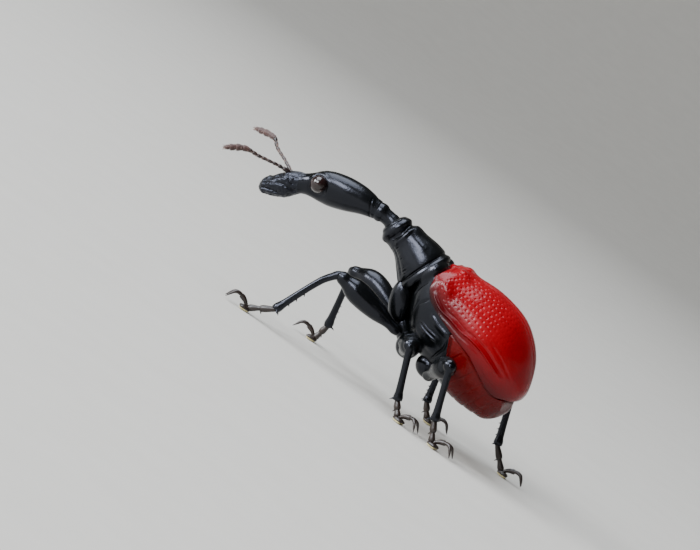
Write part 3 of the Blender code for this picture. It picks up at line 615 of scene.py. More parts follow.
# Prothorax: collar lobe, groove, and a cone that widens to its hind rim
chestSet = {
    "rows": ((0.0, 0.52, -0.38, 0.47), (0.05, 0.64, -0.43, 0.54), (0.12, 0.72, -0.48, 0.60),
             (0.34, 0.84, -0.66, 0.69), (0.48, 0.79, -0.66, 0.62), (0.56, 0.76, -0.62, 0.58),
             (0.74, 0.97, -0.58, 0.68), (1.20, 1.06, -0.60, 0.80), (1.80, 1.24, -0.88, 1.00),
             (2.24, 1.31, -1.10, 1.12), (2.34, 1.27, -1.12, 1.08), (2.42, 1.30, -1.16, 1.12),
             (2.52, 1.36, -1.20, 1.18), (2.62, 1.35, -1.20, 1.18), (2.74, 1.28, -1.15, 1.12)),
    "strokes": (
        # raised rim at the front, then the ridge behind the collar groove
        strokeOn("left", 0.07, 0.03, (0.1, -0.35), (0.08, 0.1), (0.12, 0.6), fade=False),
        strokeOn("left", 0.12, -0.08, (0.56, 0.7), (0.64, 0.3), (0.6, -0.2)),
        strokeOn("left", 0.15, 0.06, (0.72, 0.8), (0.84, 0.3), (0.86, -0.1)),
        # flat place on the upper side and the swelling below it
        strokeOn("left", 0.35, 0.03, (1.2, 0.75), (1.7, 0.85)),
        strokeOn("left", 0.4, 0.04, (1.3, -0.1), (1.9, -0.2)),
        # line under the side, and the groove before the hind rim
        strokeOn("left", 0.08, -0.04, (0.95, -0.3), (1.5, -0.38), (2.2, -0.62)),
        strokeOn("left", 0.07, -0.05, (2.38, -0.8), (2.36, 0.1), (2.36, 1.1), fade=False),
        # middle line of the back
        strokeOn("top", 0.08, -0.025, (0.8, 0), (2.2, 0)),
    ),
    # fine wrinkles across the lower side
    "wrinkles": {"seed": 4, "count": 26, "along": (0.95, 2.2), "low": (-0.75, -0.5), "high": (-0.3, 0.1),
                 "slant": (-0.04, 0.04), "width": 0.04, "height": -0.014},
    "grid": (150, 110),
}


def makeChest():
    chest = makeBody("prothorax_shell", chestSet["rows"], chestFrame, *chestSet["grid"])
    strokes = list(chestSet["strokes"])
    wrinkles = chestSet["wrinkles"]
    draw = random.Random(wrinkles["seed"])
    first, last = wrinkles["along"]
    for number in range(wrinkles["count"]):
        along = first + (last - first) * number / wrinkles["count"]
        low, high = draw.uniform(*wrinkles["low"]), draw.uniform(*wrinkles["high"])
        end = along + draw.uniform(*wrinkles["slant"])
        strokes.append(strokeOn("left", wrinkles["width"], wrinkles["height"], (along, low), (end, high)))
    sculpt(chest, chestFrame, strokes)
    finishPiece(chest, "cuticleBlack", ["prothorax"])


makeChest()
print("neck and prothorax made")

# Wing cases
wingSet = {
    # distance, ridge, half width and side edge
    "rows": ((0.14, 0.06, 1.36, -0.56), (0.24, 0.20, 1.46, -0.64), (0.44, 0.42, 1.66, -0.86),
             (0.70, 0.57, 1.78, -1.00), (1.10, 0.74, 1.88, -1.08), (2.00, 1.24, 2.02, -0.98),
             (3.00, 1.57, 2.16, -0.76), (3.75, 1.65, 2.20, -0.62), (4.60, 1.50, 2.12, -0.62),
             (5.30, 1.20, 1.86, -0.70), (5.80, 0.82, 1.50, -0.64), (6.20, 0.42, 1.04, -0.36),
             (6.40, 0.14, 0.62, -0.20), (6.47, -0.04, 0.20, -0.14)),
    "squareness": 2.15, "seam": 0.015, "thickness": 0.12, "grid": (250, 150),
    # rows of pits over the arch from seam to edge, deep in front and fading towards the tail and the edge
    "pits": {"seed": 7, "rows": 12, "across": (0.075, 0.76), "sway": (-0.004, 0.004), "low": 0.55,
             "along": (0.5, 6.1), "start": (0, 0.2), "step": 0.22, "stepShare": (0.9, 1.1),
             "width": 0.078, "widthShare": (0.85, 1.1), "depth": 0.024, "depthShare": (0.7, 1.2),
             "fade": (2.8, 5.0), "least": 0.12},
    "strokes": (
        # keel along the side, with a furrow on each side of it
        strokeOn("left", 0.085, 0.085, (0.75, -0.82), (1.1, -0.87), (1.57, -0.82), (2.11, -0.61),
                 (2.73, -0.43), (3.24, -0.19), (3.86, -0.02), (4.5, 0.03), (5.2, 0.03)),
        strokeOn("left", 0.1, -0.05, (0.7, -0.66), (1.57, -0.65), (2.15, -0.42), (2.78, -0.24), (3.28, 0),
                 (3.9, 0.16), (4.6, 0.2), (5.2, 0.18)),
        strokeOn("left", 0.1, -0.03, (1.0, -0.96), (1.6, -0.94), (2.2, -0.75), (2.8, -0.58), (3.4, -0.34),
                 (4.0, -0.18)),
        # shoulder hump, hollow behind the base, and the base's raised rim
        strokeOn("left", 0.42, 0.07, (0.68, -0.22), (0.95, -0.28), fade=False),
        strokeOn("top", 0.32, -0.04, (0.95, 0.62), (1.15, 0.66)),
        strokeOn("top", 0.28, 0.04, (0.5, 0.52), (0.62, 0.6)),
        strokeOn("top", 0.07, 0.03, (0.2, 0.2), (0.24, 0.8), (0.3, 1.2)),
        # groove beside the seam, so that the seam's strip stands up
        strokeOn("top", 0.06, -0.035, (0.9, 0.14), (2.5, 0.16), (4.5, 0.16), (5.9, 0.12)),
        # long creases on the hind part
        strokeOn("left", 0.12, -0.016, (3.8, 0.46), (4.6, 0.48), (5.4, 0.34)),
        strokeOn("left", 0.09, -0.018, (4.4, -0.36), (5.0, -0.38), (5.7, -0.3)),
    ),
}


def wingPoint(along, share, sink=0.0):
    ridge, halfWide, edge = smoothRow(wingSet["rows"], along)
    power = 2 / wingSet["squareness"]
    angle = math.pi / 2 * share
    y = wingSet["seam"] + (halfWide - sink) * math.sin(angle) ** power
    return Vector((along, y, edge + (ridge - edge - sink) * math.cos(angle) ** power))


def wingStrokes(sign):
    strokes = []
    for stroke in wingSet["strokes"]:
        throw = "right" if sign > 0 and stroke["throw"] == "left" else stroke["throw"]
        route = [(x, sign * y, z) for x, y, z in stroke["route"]]
        strokes.append({**stroke, "throw": throw, "route": route})
    pits = wingSet["pits"]
    draw = random.Random(pits["seed"])
    fadeFrom, fadeTo = pits["fade"]
    for row in range(pits["rows"]):
        rowShare = row / (pits["rows"] - 1)
        low = 1.0 - pits["low"] * max(rowShare - 0.5, 0.0) * 2
        along = pits["along"][0] + draw.uniform(*pits["start"])
        while along < pits["along"][1]:
            fade = min(max((fadeTo - along) / (fadeTo - fadeFrom), pits["least"]), 1.0)
            across = pits["across"][0] + pits["across"][1] * rowShare + draw.uniform(*pits["sway"])
            x, y, z = wingPoint(along, across)
            width = pits["width"] * draw.uniform(*pits["widthShare"])
            depth = pits["depth"] * fade * low * draw.uniform(*pits["depthShare"])
            strokes.append(strokeNear(width, -depth, ((x, sign * y, z),)))
            along += pits["step"] * draw.uniform(*pits["stepShare"])
    return strokes


def makeWingCases():
    first, last = wingSet["rows"][0][0], wingSet["rows"][-1][0]
    long, wide = wingSet["grid"]
    for side, sign in (("left", -1), ("right", 1)):
        rows = []
        for step in range(long + 1):
            along = first + (last - first) * step / long
            points = [wingPoint(along, count / wide) for count in range(wide + 1)]
            rows.append([Vector((x, sign * y, z)) for x, y, z in points])
        case = bendGrid(f"wing_shell_{side}", rows, hindFrame, weld=False)
        # an open sheet may be turned either way, and its thickness grows inwards
        middle = case.data.polygons[len(case.data.polygons) // 2]
        if middle.normal.dot(hindFrame.to_3x3() @ Vector((0, sign, 1))) < 0:
            case.data.flip_normals()
        sculpt(case, hindFrame, wingStrokes(sign), mirrored=False)
        applyModifier(case, "SOLIDIFY", thickness=wingSet["thickness"] * mm, offset=-1.0)
        finishPiece(case, "wingRed", [f"wing_case_{side}"])


makeWingCases()
print("wing cases made")

# Scutellum: the small shield between the bases of the wing cases
shieldSet = {"rows": ((0.02, 0.02, -0.2, 0.06), (0.12, 0.1, -0.2, 0.24), (0.3, 0.3, -0.2, 0.26),
                      (0.5, 0.49, -0.1, 0.16), (0.66, 0.6, 0.1, 0.02)),
             "grid": (24, 32), "squareness": 2.3, "caps": (0.02, 0.02)}


def makeShield():
    shield = makeBody("scutellum", shieldSet["rows"], hindFrame, *shieldSet["grid"],
                      shieldSet["squareness"], *shieldSet["caps"])
    finishPiece(shield, "wingRed")


makeShield()

# Thorax under the wing cases, with the seams between its plates
trunkSet = {
    # distance, bottom and half width
    "rows": ((-0.40, -1.60, 1.12), (0.10, -1.95, 1.26), (1.00, -2.62, 1.62), (1.60, -2.92, 1.78),
             (2.00, -3.00, 1.86), (3.00, -3.04, 1.98), (4.00, -2.86, 2.02), (5.00, -2.64, 1.94),
             (5.60, -2.40, 1.60)),
    "front": -0.30, "end": 5.2, "long": 150, "roof": 0.2,
    # slanting waist between thorax and abdomen: a point on it, and its tilt up from the body's axis
    "waist": (3.70, -1.69), "waistTilt": 52.7, "waistGap": 0.04,
    "strokes": (
        # two bright ridges low on the side
        strokeOn("left", 0.095, 0.045, (1.55, -1.92), (2.0, -1.8), (2.55, -1.56)),
        strokeOn("left", 0.095, 0.045, (1.6, -2.09), (2.05, -1.97), (2.6, -1.73)),
        strokeOn("left", 0.07, -0.015, (1.5, -2.005), (2.0, -1.885), (2.6, -1.645)),
        # smooth collar band behind the prothorax
        strokeOn("left", 0.26, 0.07, (-0.05, -1.45), (-0.1, -0.9), (-0.08, -0.3), (-0.05, 0)),
        # seam between middle and hind thorax, and the plate's edges under the wing case
        strokeOn("left", 0.07, -0.06, (0.9, -1.2), (0.85, -1.7), (1.1, -2.3)),
        strokeOn("left", 0.07, -0.05, (0.2, -0.9), (0.25, -1.4), (0.4, -1.8)),
        # wedge plate under the wing case's edge
        strokeOn("left", 0.16, 0.05, (1.5, -1.38), (2.1, -1.3), (2.7, -1.1)),
        strokeOn("left", 0.07, -0.06, (2.75, -1.2), (3.0, -1.5), (3.1, -2.0), (3.2, -2.5)),
        strokeOn("left", 0.3, 0.05, (1.5, -2.3), (2.2, -2.25), (3.0, -2.0)),
        # middle line of the breast
        strokeOn("under", 0.08, -0.05, (0.6, 0), (3.4, 0)),
    ),
}


# Both bodies under the wing cases: they start a little inside the edge and below it
underSet = {"inset": 0.02, "drop": 0.05, "roofPoints": 16, "sidePoints": 100, "squareness": (2.4, 2.2)}


def underRings(plan):
    rings = []
    squareWide, squareHigh = underSet["squareness"]
    for step in range(plan["long"] + 1):
        along = plan["front"] + (plan["end"] - plan["front"]) * step / plan["long"]
        over = max(along, wingSet["rows"][0][0])
        bottom, halfWide = smoothRow(plan["rows"], along)
        start = smoothRow(wingSet["rows"], over)[2] - underSet["drop"]
        half = []
        for count in range(underSet["roofPoints"] + 1):
            point = wingPoint(over, count / underSet["roofPoints"], plan["roof"])
            half.append((min(max(point.y, 0.0), halfWide - underSet["inset"]), point.z))
        for count in range(1, underSet["sidePoints"] + 1):
            angle = math.pi / 2 * count / underSet["sidePoints"]
            half.append((halfWide * math.cos(angle) ** (2 / squareWide),
                         start + (bottom - start) * math.sin(angle) ** (2 / squareHigh)))
        half[0] = (0.0, half[0][1])
        half[-1] = (0.0, half[-1][1])
        ring = [Vector((along, y, z)) for y, z in half]
        rings.append(ring + [Vector((along, -y, z)) for y, z in reversed(half[:-1])])
    return rings


def closeEnds(rings):
    count = len(rings[0])
    for ring, front in ((rings[0], True), (rings[-1], False)):
        middle = sum(ring[:-1], Vector()) / (count - 1)
        cap = [[middle + (point - middle) * share for point in ring] for share in (0.6, 0.0)]
        rings = cap[::-1] + rings if front else rings + cap
    return rings


# Cuts a piece at the waist and closes it, keeping the thorax or the abdomen
def cutAtWaist(piece, keepTail):
    pick(piece)
    tilt = math.radians(trunkSet["waistTilt"])
    normal = Vector((math.cos(tilt), 0, math.sin(tilt)))
    shift = normal * trunkSet["waistGap"] * (0.5 if keepTail else -0.5)
    point = Vector((trunkSet["waist"][0], 0, trunkSet["waist"][1])) + shift
    bpy.ops.object.mode_set(mode="EDIT")
    bpy.ops.mesh.select_all(action="SELECT")
    bpy.ops.mesh.bisect(plane_co=(hindFrame @ point) * mm, plane_no=hindFrame.to_3x3() @ normal,
                        use_fill=True, clear_inner=keepTail, clear_outer=not keepTail)
    bpy.ops.object.mode_set(mode="OBJECT")


# Soft black link between the two parts of the breast, where the front hips swing
linkSet = {"line": ((5.75, 0, 3.72), (6.15, 0, 3.38), (6.7, 0, 2.95), (7.1, 0, 2.75)),
           "radii": ((0, 0.5), (0.3, 0.72), (0.7, 0.8), (1, 0.6)), "flat": 0.62}


def makeLink():
    link = makeTube("breast_link", linkSet["line"], linkSet["radii"], bodyLean, 40, 48, linkSet["flat"])
    finishPiece(link, "cuticleBlack")


def makeTrunk():
    trunk = bendGrid("thorax_shell", closeEnds(underRings(trunkSet)), hindFrame)
    cutAtWaist(trunk, False)
    sculpt(trunk, hindFrame, trunkSet["strokes"])
    finishPiece(trunk, "cuticleBlack", ["thorax"])


makeTrunk()
makeLink()
print("scutellum and thorax made")

# Abdomen: five plates below, each a little under the one before, and the tail plate
bellySet = {
    "rows": ((2.40, -2.95, 2.02), (3.00, -3.24, 2.12), (3.40, -3.36, 2.14), (4.00, -3.14, 2.15),
             (4.60, -2.78, 2.07), (5.20, -2.58, 1.86), (5.70, -2.36, 1.56), (6.10, -2.16, 1.24),
             (6.45, -1.95, 0.86), (6.62, -1.66, 0.52), (6.72, -1.35, 0.2)),
    "front": 2.40, "end": 6.72, "long": 160, "roof": 0.16,
    # where the plates begin, and how far each stands out there, how long and how high up the side
    "plates": (3.55, 4.45, 5.05, 5.55, 5.98), "lap": 0.036, "lapLong": 0.12, "lapHigh": 0.8,
    # the tail plate's upper face slopes down behind the wing cases, and arches from side to side
    "wall": 5.95, "slopeFrom": 6.3, "slope": 1.6, "archFrom": 6.2, "arch": 2.5,
    "smoothFrom": 6.1, "smoothing": 30,
}


# Rounds the tail plate, where the last rings meet
def smoothTail(piece):
    back = hindFrame.inverted()
    pick(piece)
    bpy.ops.object.mode_set(mode="EDIT")
    bpy.ops.mesh.select_all(action="DESELECT")
    bpy.ops.object.mode_set(mode="OBJECT")
    for vertex in piece.data.vertices:
        vertex.select = (back @ (vertex.co / mm)).x > bellySet["smoothFrom"]
    bpy.ops.object.mode_set(mode="EDIT")
    bpy.ops.mesh.vertices_smooth(factor=0.5, repeat=bellySet["smoothing"])
    bpy.ops.object.mode_set(mode="OBJECT")


def makeBelly():
    shaped = []
    for ring in underRings(bellySet):
        along = ring[0].x
        edge = smoothRow(wingSet["rows"], min(along, wingSet["rows"][-1][0]))[2]
        gap = min([along - plate for plate in bellySet["plates"] if along >= plate] or [1.0])
        lap = bellySet["lap"] * math.exp(-gap / bellySet["lapLong"])
        top = edge - underSet["drop"] - max(along - bellySet["slopeFrom"], 0.0) * bellySet["slope"]
        arch = bellySet["arch"] * max(along - bellySet["archFrom"], 0.0)
        row = []
        for point in ring:
            low = min(max((edge - point.z) / bellySet["lapHigh"], 0.0), 1.0)
            y, z = point.y * (1 - lap * 0.5 * low), point.z + lap * low
            if along > bellySet["wall"]:
                z = min(z, top - arch * y * y)
            row.append(Vector((along, y, z)))
        shaped.append(row)
    belly = bendGrid("abdomen_shell", closeEnds(shaped), hindFrame)
    cutAtWaist(belly, True)
    smoothTail(belly)
    finishPiece(belly, "bellyBrown", ["abdomen"])


makeBelly()

# Hips: front pair long and close together, the others round
hipSet = {
    "front": {"centre": (5.62, 0.54, 4.12), "radii": (0.50, 0.46, 1.00), "slant": -22},
    "middle": {"centre": (6.98, 0.80, 2.86), "radii": (0.55, 0.54, 0.62), "slant": 0},
    "hind": {"centre": (8.24, 0.86, 2.62), "radii": (0.62, 0.58, 0.54), "slant": 0},
}

# Legs: joints in the solids' places, true thickness
legSet = {
    "front_left": {"hip": (6.06, -1.10, 2.98), "knee": (3.09, -2.00, 3.56), "ankle": (1.62, -2.40, 0.80),
                   "sole": (0.52, -2.50), "heading": -164, "femurRise": 0.0, "shinRise": 0.42},
    "front_right": {"hip": (6.00, 0.98, 3.10), "knee": (2.70, 1.90, 3.62), "ankle": (2.98, 3.00, 0.98),
                    "sole": (2.66, 3.10), "heading": -176, "femurRise": 0.36, "shinRise": 0.06},
    "middle_left": {"hip": (7.05, -1.26, 2.50), "knee": (7.42, -3.20, 2.94), "ankle": (8.26, -3.05, 0.76),
                    "sole": (8.78, -3.15), "heading": -16, "femurRise": 0.1, "shinRise": 0.0},
    "middle_right": {"hip": (7.12, 1.34, 2.84), "knee": (8.12, 2.85, 2.62), "ankle": (8.50, 2.90, 0.80),
                     "sole": (9.02, 3.02), "heading": 16, "femurRise": 0.2, "shinRise": 0.0},
    "hind_left": {"hip": (8.52, -1.38, 2.24), "knee": (9.34, -3.50, 3.26), "ankle": (10.08, -3.30, 1.00),
                  "sole": (10.60, -3.36), "heading": -10, "femurRise": 0.1, "shinRise": 0.0},
    "hind_right": {"hip": (8.70, 1.50, 2.52), "knee": (11.26, 3.28, 3.48), "ankle": (12.10, 3.20, 1.02),
                   "sole": (12.98, 3.24), "heading": 4, "femurRise": 0.12, "shinRise": 0.0},
}
# Thighs: radii along the stalk, the swelling as shares of its greatest radius, and radii at the knee
frontFemur = {"thick": 0.55, "stalk": ((0, 0.20), (0.06, 0.26), (0.12, 0.25), (0.18, 0.27)),
              "swelling": ((0.35, 0.8), (0.58, 1), (0.74, 0.94), (0.87, 0.62)),
              "knee": ((0.95, 0.29), (1, 0.16))}
middleFemur = {"thick": 0.46, "stalk": ((0, 0.20), (0.08, 0.27), (0.16, 0.26), (0.26, 0.27)),
               "swelling": ((0.46, 0.8), (0.66, 1), (0.8, 0.88), (0.9, 0.6)),
               "knee": ((0.96, 0.27), (1, 0.15))}
femurSet = {"front": frontFemur, "middle": middleFemur, "hind": {**middleFemur, "thick": 0.50}}
tibiaSet = {"radii": ((0, 0.15), (0.06, 0.19), (0.14, 0.165), (0.5, 0.15), (0.85, 0.17), (0.95, 0.21),
                      (1, 0.19)),
            "spurLong": 0.30, "spurRadii": ((0, 0.05), (0.5, 0.04), (1, 0.008)),
            "toothRadii": ((0, 0.045), (1, 0.008))}
footSet = {"first": ((0, 0.10), (0.2, 0.115), (0.8, 0.155), (1, 0.13)),
           "second": ((0, 0.09), (0.3, 0.11), (0.8, 0.15), (1, 0.12)),
           "last": ((0, 0.075), (0.3, 0.08), (0.85, 0.12), (1, 0.11)),
           "claw": ((0, 0.075), (0.3, 0.072), (0.7, 0.05), (1, 0.012)),
           "thorn": ((0, 0.05), (0.5, 0.036), (1, 0.008)), "thornLong": 0.25, "thornWay": (-0.55, 0, -0.8),
           "lobe": (0.26, 0.14, 0.10), "pad": (0.2392, 0.126, 0.074), "lobeTurn": 0.22,
           # places ahead of the sole's middle, beside it and above it
           "toe": (-0.12, 0, 0.20), "root": (-0.1, 0, 0.16), "bend": (0.4116, 0, 0.50),
           "clawRoot": (0.3616, 0.035, 0.50), "crest": (0.7448, 0.17, 0.47), "tip": (0.98, 0.23, 0.12),
           "lobeAt": (0, 0.135, 0.13), "padAt": (0, 0.135, 0.075)}


def makeHip(leg):
    part, side = leg.split("_")
    plan = hipSet[part]
    x, y, z = plan["centre"]
    place = bodyLean @ Matrix.Translation((x, -y if side == "left" else y, z))
    place = place @ Matrix.Rotation(math.radians(plan["slant"]), 4, "Y")
    hip = makeBall(f"hip_shell_{leg}", (0, 0, 0), plan["radii"], place, 40, 56)
    finishPiece(hip, "cuticleBlack", [f"hip_{leg}"])


def makeFemur(leg, hip, knee, shin):
    shape = femurSet[leg.split("_")[0]]
    rise = Vector((0, 0, legSet[leg]["femurRise"]))
    axis = (knee - hip).normalized()
    line = (hip - axis * 0.30, hip + axis * 0.2, hip.lerp(knee, 0.3) + rise * 0.6,
            hip.lerp(knee, 0.68) + rise, knee + axis * 0.14)
    swelling = tuple((share, shape["thick"] * size) for share, size in shape["swelling"])
    radii = shape["stalk"] + swelling + shape["knee"]
    femur = makeTube(f"femur_shell_{leg}", line, radii, rows=90, sides=56, flat=0.96)
    side = axis.cross(shin).normalized()
    out = (axis - shin).normalized()
    # keel lines on both sides of the thigh, and the groove that takes the shin
    keel = (hip.lerp(knee, 0.3), hip.lerp(knee, 0.6) + rise, hip.lerp(knee, 0.95))
    strokes = [strokeNear(0.12, 0.03, [point + side * off for point in keel]) for off in (3, -3)]
    strokes.append(strokeNear(0.1, -0.05, [hip.lerp(knee, share) - out * 2 for share in (0.72, 0.85, 1.0)]))
    sculpt(femur, floorFrame, strokes, mirrored=False)
    finishPiece(femur, "cuticleBlack", [f"femur_{leg}"])


def makeLeg(leg):
    plan = legSet[leg]
    hip, knee, ankle = [Vector(plan[joint]) for joint in ("hip", "knee", "ankle")]
    sole = Vector((*plan["sole"], 0))
    shin = (ankle - knee).normalized()
    makeHip(leg)
    makeFemur(leg, hip, knee, shin)
    makeShin(leg, knee, ankle, shin)
    makeFoot(leg, ankle, sole)


def makeShin(leg, knee, ankle, shin):
    bow = Vector((0, 0, legSet[leg]["shinRise"]))
    line = (knee - shin * 0.10, knee.lerp(ankle, 0.12) + bow * 0.55, knee.lerp(ankle, 0.4) + bow, ankle)
    tibia = makeTube("tibia", line, tibiaSet["radii"], rows=70, sides=24)
    toward = (Vector((*legSet[leg]["sole"], 0.1)) - ankle).normalized()
    side = shin.cross(toward).normalized()
    # a furrow down both sides
    furrow = (knee.lerp(ankle, 0.08), knee.lerp(ankle, 0.5) + bow, knee.lerp(ankle, 0.93))
    sculpt(tibia, floorFrame, [strokeNear(0.05, -0.02, [point + side * off for point in furrow])
                               for off in (-1.5, 1.5)], mirrored=False)
    parts = [tibia]
    for sign in (-1, 1):
        root = ankle - shin * 0.06 + side * sign * 0.09 - toward * 0.06
        way = (shin * 0.75 + side * sign * 0.22 - toward * 0.66).normalized()
        tip = root + way * tibiaSet["spurLong"]
        spine = (root, root.lerp(tip, 0.5), tip)
        parts.append(makeTube("spur", spine, tibiaSet["spurRadii"], rows=8, sides=10))
    under = (-toward - shin * shin.dot(-toward)).normalized()
    for tooth in range(3):
        root = knee.lerp(ankle, 0.62 + 0.1 * tooth) + bow * (0.6 - 0.2 * tooth) + under * 0.1
        tip = root + under * 0.12 + shin * 0.05
        parts.append(makeTube("tooth", (root, tip), tibiaSet["toothRadii"], rows=6, sides=8))
    tibia = joinPieces(f"tibia_shell_{leg}", parts)
    finishPiece(tibia, "cuticleBlack", [f"tibia_{leg}"])


def makeFoot(leg, ankle, sole):
    turn = math.radians(legSet[leg]["heading"])
    place = Matrix.Translation(sole) @ Matrix.Rotation(turn, 4, "Z")
    up = Vector((0, 0, 1))

    def spot(key, sign=1):
        ahead, aside, above = footSet[key]
        return place @ Vector((ahead, sign * aside, above))

    toe, root, bend = spot("toe"), spot("root"), spot("bend")
    middle = ankle.lerp(toe, 0.52)
    step = (toe - ankle).normalized()
    thorn = middle + (place.to_3x3() @ Vector(footSet["thornWay"])).normalized() * footSet["thornLong"]
    first = (ankle - step * 0.08, ankle.lerp(middle, 0.5), middle + step * 0.02)
    parts = [makeTube("joint", first, footSet["first"], rows=20, sides=20),
             makeTube("joint", (middle - step * 0.04, toe), footSet["second"], rows=16, sides=20),
             makeTube("thorn", (middle - up * 0.04, middle.lerp(thorn, 0.5), thorn), footSet["thorn"],
                      rows=8, sides=10)]
    for sign in (-1, 1):
        parts.append(makeBall("lobe", spot("lobeAt", sign), footSet["lobe"], floorFrame, 16, 24,
                              turn + sign * footSet["lobeTurn"]))
    parts.append(makeTube("last", (root, root.lerp(bend, 0.5) + up * 0.06, bend), footSet["last"],
                          rows=20, sides=20))
    for sign in (-1, 1):
        start, crest, tip = [spot(key, sign) for key in ("clawRoot", "crest", "tip")]
        parts.append(makeTube("claw", (start, start.lerp(crest, 0.55) + up * 0.05, crest, tip),
                              footSet["claw"], rows=22, sides=14))
    foot = joinPieces(f"foot_shell_{leg}", parts)
    finishPiece(foot, "footBrown", [f"foot_{leg}"])
    pad = joinPieces(f"sole_{leg}", [makeBall("pad", spot("padAt", sign), footSet["pad"], floorFrame, 12, 24,
                                              turn + sign * footSet["lobeTurn"]) for sign in (-1, 1)])
    for vertex in pad.data.vertices:
        vertex.co.z = max(vertex.co.z, 0.01 * mm)
    finishPiece(pad, "solePale")


for legName in legSet:
    makeLeg(legName)
print("abdomen and legs made")

# Feelers: a long first joint, seven beads and a club of four, with short down
feelerSet = {
    "left": ((-1.36, -0.46, 5.70), (-2.12, -0.88, 5.78), (-2.96, -1.20, 5.66), (-3.60, -1.46, 5.60),
             (-4.42, -1.76, 5.09)),
    "right": ((-1.36, 0.10, 5.80), (-2.25, 0.52, 6.02), (-2.93, 0.84, 6.26), (-3.38, 1.14, 6.52),
              (-4.54, 1.70, 6.33)),
    # share of the length where each joint ends, and its greatest radius
    "joints": ((0.15, 0.095), (0.22, 0.085), (0.30, 0.075), (0.38, 0.072), (0.455, 0.075), (0.53, 0.08),
               (0.60, 0.085), (0.66, 0.095), (0.75, 0.14), (0.84, 0.16), (0.92, 0.15), (1.0, 0.11)),
    "club": 8, "shorter": 0.93, "steps": 200, "stalk": 0.045, "clubStalk": 0.72, "sunk": 0.06,
}
# Down: short hairs, closer towards the club, that lean forwards
downSet = {"seeds": {"left": 11, "right": 12}, "count": 520, "long": 0.11, "thick": 0.008,
           "along": (0.02, 0.99), "crowding": 0.62, "longShare": (0.6, 1.1), "uvHair": 0.003}


def makeFeeler(side):
    steps = feelerSet["steps"]
    route = [Vector(point) for point in feelerSet[side]]
    route[-1] = route[-2].lerp(route[-1], feelerSet["shorter"])
    landed, normal, _, _ = surfaceOf(bpy.data.objects["head_shell"]).find_nearest(floorFrame @ route[0])
    socket = floorFrame.inverted() @ (landed - normal * feelerSet["sunk"])
    if (socket - route[0]).length > 0.1:
        route[0] = socket
    points = smoothLine(route, steps)
    stem, club = [], []
    start = 0
    for number, (end, radius) in enumerate(feelerSet["joints"]):
        line = points[start:round(end * steps) + 1]
        start = round(end * steps)
        neck = feelerSet["stalk"] if number < feelerSet["club"] else radius * feelerSet["clubStalk"]
        shape = ((0, neck), (0.15, neck + 0.01), (0.62, radius), (0.85, radius * 0.95), (1, radius * 0.55))
        if number == len(feelerSet["joints"]) - 1:
            shape = ((0, neck), (0.25, radius), (0.6, radius * 0.8), (1, 0.015))
        piece = makeTube("joint", [line[0] - (line[1] - line[0]) * 1.5] + line, shape, rows=22, sides=24)
        (club if number >= feelerSet["club"] else stem).append(piece)
    for name, finish, parts in (("stem", "feelerBrown", stem), ("club", "clubBrown", club)):
        finishPiece(joinPieces(f"feeler_{name}_{side}", parts), finish, [f"feeler_{side}"])
    return points


def makeDown(side, points):
    draw = random.Random(downSet["seeds"][side])
    steps = feelerSet["steps"]
    vertices, faces, patches = [], [], []
    for number in range(downSet["count"]):
        share = draw.uniform(*downSet["along"]) ** downSet["crowding"]
        index = min(int(share * steps), steps - 2)
        heading = (points[index + 1] - points[index]).normalized()
        aside = heading.cross(Vector((0, 0, 1))).normalized()
        angle = draw.uniform(0, 2 * math.pi)
        outward = aside * math.cos(angle) + aside.cross(heading) * math.sin(angle)
        radius = next(size for end, size in feelerSet["joints"] if end >= index / steps)
        long = downSet["long"] * draw.uniform(*downSet["longShare"])
        # a hair is a thin three-sided blade: root, middle and tip
        root = points[index] + outward * (radius * 0.85 - 0.02)
        lean = (outward * 0.55 + heading * 0.85).normalized()
        wide = outward.cross(heading) * downSet["thick"]
        middle = root + lean * long * 0.55
        tip = root + (lean * 0.7 + heading * 0.3) * long
        first = len(vertices)
        vertices += [root + wide, root - wide, root + outward * 0.012, middle + wide * 0.7,
                     middle - wide * 0.7, middle + outward * 0.008, tip]
        for a, b in ((0, 1), (1, 2), (2, 0)):
            faces.append((first + a, first + b, first + b + 3, first + a + 3))
            faces.append((first + a + 3, first + b + 3, first + 6))
        faces.append((first + 2, first + 1, first))
        patches.append((0.01 + 0.97 * index / steps, 0.01 + 0.97 * angle / (2 * math.pi)))
    data = bpy.data.meshes.new(f"feeler_down_{side}")
    data.from_pydata([(floorFrame @ vertex) * mm for vertex in vertices], [], faces)
    layer = data.uv_layers.new(name="OFBake")
    for face in data.polygons:
        u, v = patches[face.vertices[0] // 7]
        hair = downSet["uvHair"]
        for corner, loop in enumerate(face.loop_indices):
            layer.data[loop].uv = (u + hair * (corner % 2), v + hair * (corner // 2))
    down = bpy.data.objects.new(data.name, data)
    bpy.context.scene.collection.objects.link(down)
    pick(down)
    faceOutward()
    finishPiece(down, "downPale")


for feelerSide in ("left", "right"):
    makeDown(feelerSide, makeFeeler(feelerSide))
print("feelers made")

# Studio: a pale round floor with a soft raised rim, and large soft lamps
studioSet = {"radius": 600, "flat": 0.5, "rim": 260, "sides": 96, "steps": 8, "fibre": 2.5,
             "paper": ((0.3, "C8C4BC"), (0.7, "CBC7BF")), "air": "F4F2EE", "airStrength": 0.10}


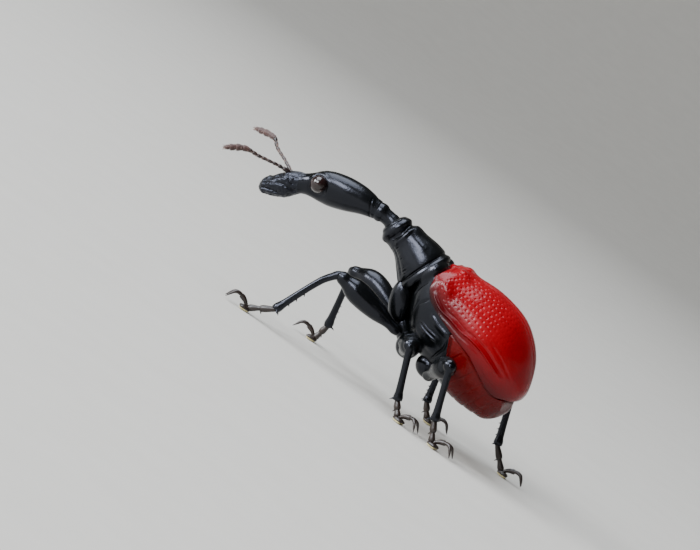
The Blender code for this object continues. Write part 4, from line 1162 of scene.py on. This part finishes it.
def makeStudio():
    radius, flat, steps = studioSet["radius"], studioSet["flat"], studioSet["steps"]
    clearSelection()
    bpy.ops.mesh.primitive_circle_add(vertices=studioSet["sides"], radius=radius * flat * mm,
                                      fill_type="NGON")
    floor = bpy.context.object
    floor.name = "studio_floor"
    bpy.ops.object.mode_set(mode="EDIT")
    for step in range(1, steps + 1):
        bpy.ops.mesh.select_all(action="DESELECT")
        bpy.ops.object.mode_set(mode="OBJECT")
        edge = max(vertex.co.to_2d().length for vertex in floor.data.vertices)
        for vertex in floor.data.vertices:
            vertex.select = vertex.co.to_2d().length > edge - 1e-5
        bpy.ops.object.mode_set(mode="EDIT")
        bpy.ops.mesh.select_mode(type="EDGE")
        bpy.ops.mesh.extrude_region_move()
        before, angle = math.pi / 2 * (step - 1) / steps, math.pi / 2 * step / steps
        reach = radius * (flat + (1 - flat) * math.sin(angle)) * mm
        bpy.ops.transform.resize(value=(reach / edge, reach / edge, 1))
        lift = studioSet["rim"] * (math.cos(before) - math.cos(angle)) * mm
        bpy.ops.transform.translate(value=(0, 0, lift))
        bpy.ops.mesh.select_mode(type="VERT")
    # the extruded face ends up as a lid, which would keep the light out
    bpy.ops.object.mode_set(mode="OBJECT")
    for face in floor.data.polygons:
        face.select = len(face.vertices) > 4 and face.center.z > 0.001 * mm
    bpy.ops.object.mode_set(mode="EDIT")
    bpy.ops.mesh.select_mode(type="FACE")
    bpy.ops.mesh.delete(type="ONLY_FACE")
    bpy.ops.mesh.select_mode(type="VERT")
    bpy.ops.object.mode_set(mode="OBJECT")
    bpy.ops.object.shade_smooth()
    material, tree, shader = newMaterial("paperFloor", {"Roughness": 0.85})
    place = addNode(tree, "ShaderNodeTexCoord").outputs["Object"]
    fibre = addNoise(tree, place, studioSet["fibre"])
    tree.links.new(colourSteps(tree, fibre, studioSet["paper"]), shader.inputs["Base Color"])
    floor.data.materials.append(material)


lampLowest = 60
lampSet = {
    # right, up and towards the camera from the middle of the view, size, watts
    "window": {"place": (-230, 280, 110), "size": (150, 120), "watts": 1.7, "colour": (0.93, 0.96, 1.0)},
    "sky": {"place": (30, 330, 20), "size": (280, 240), "watts": 1.6, "colour": (0.86, 0.92, 1.0)},
    "front": {"place": (-80, 215, 255), "size": (160, 140), "watts": 1.3, "colour": (0.9, 0.94, 1.0)},
}


def makeLamps():
    for name, plan in lampSet.items():
        clearSelection()
        bpy.ops.object.light_add(type="AREA")
        lamp = bpy.context.object
        lamp.name = f"lamp_{name}"
        lamp.data.shape = "RECTANGLE"
        lamp.data.size, lamp.data.size_y = [value * mm for value in plan["size"]]
        lamp.data.energy = plan["watts"]
        lamp.data.color = plan["colour"]
        right, upward, toward = plan["place"]
        spot = viewTarget + viewRight * right + viewUp * upward + viewBack * toward
        spot.z = max(spot.z, lampLowest)
        aim = (viewTarget - spot).to_track_quat("-Z", "Y")
        lamp.matrix_world = Matrix.Translation(spot * mm) @ aim.to_matrix().to_4x4()
    world = bpy.data.worlds.new("studio_air")
    bpy.context.scene.world = world
    world.use_nodes = True
    air = world.node_tree.nodes["Background"]
    air.inputs["Color"].default_value = linearColour(studioSet["air"])
    air.inputs["Strength"].default_value = studioSet["airStrength"]


makeStudio()
makeLamps()
print("studio made")
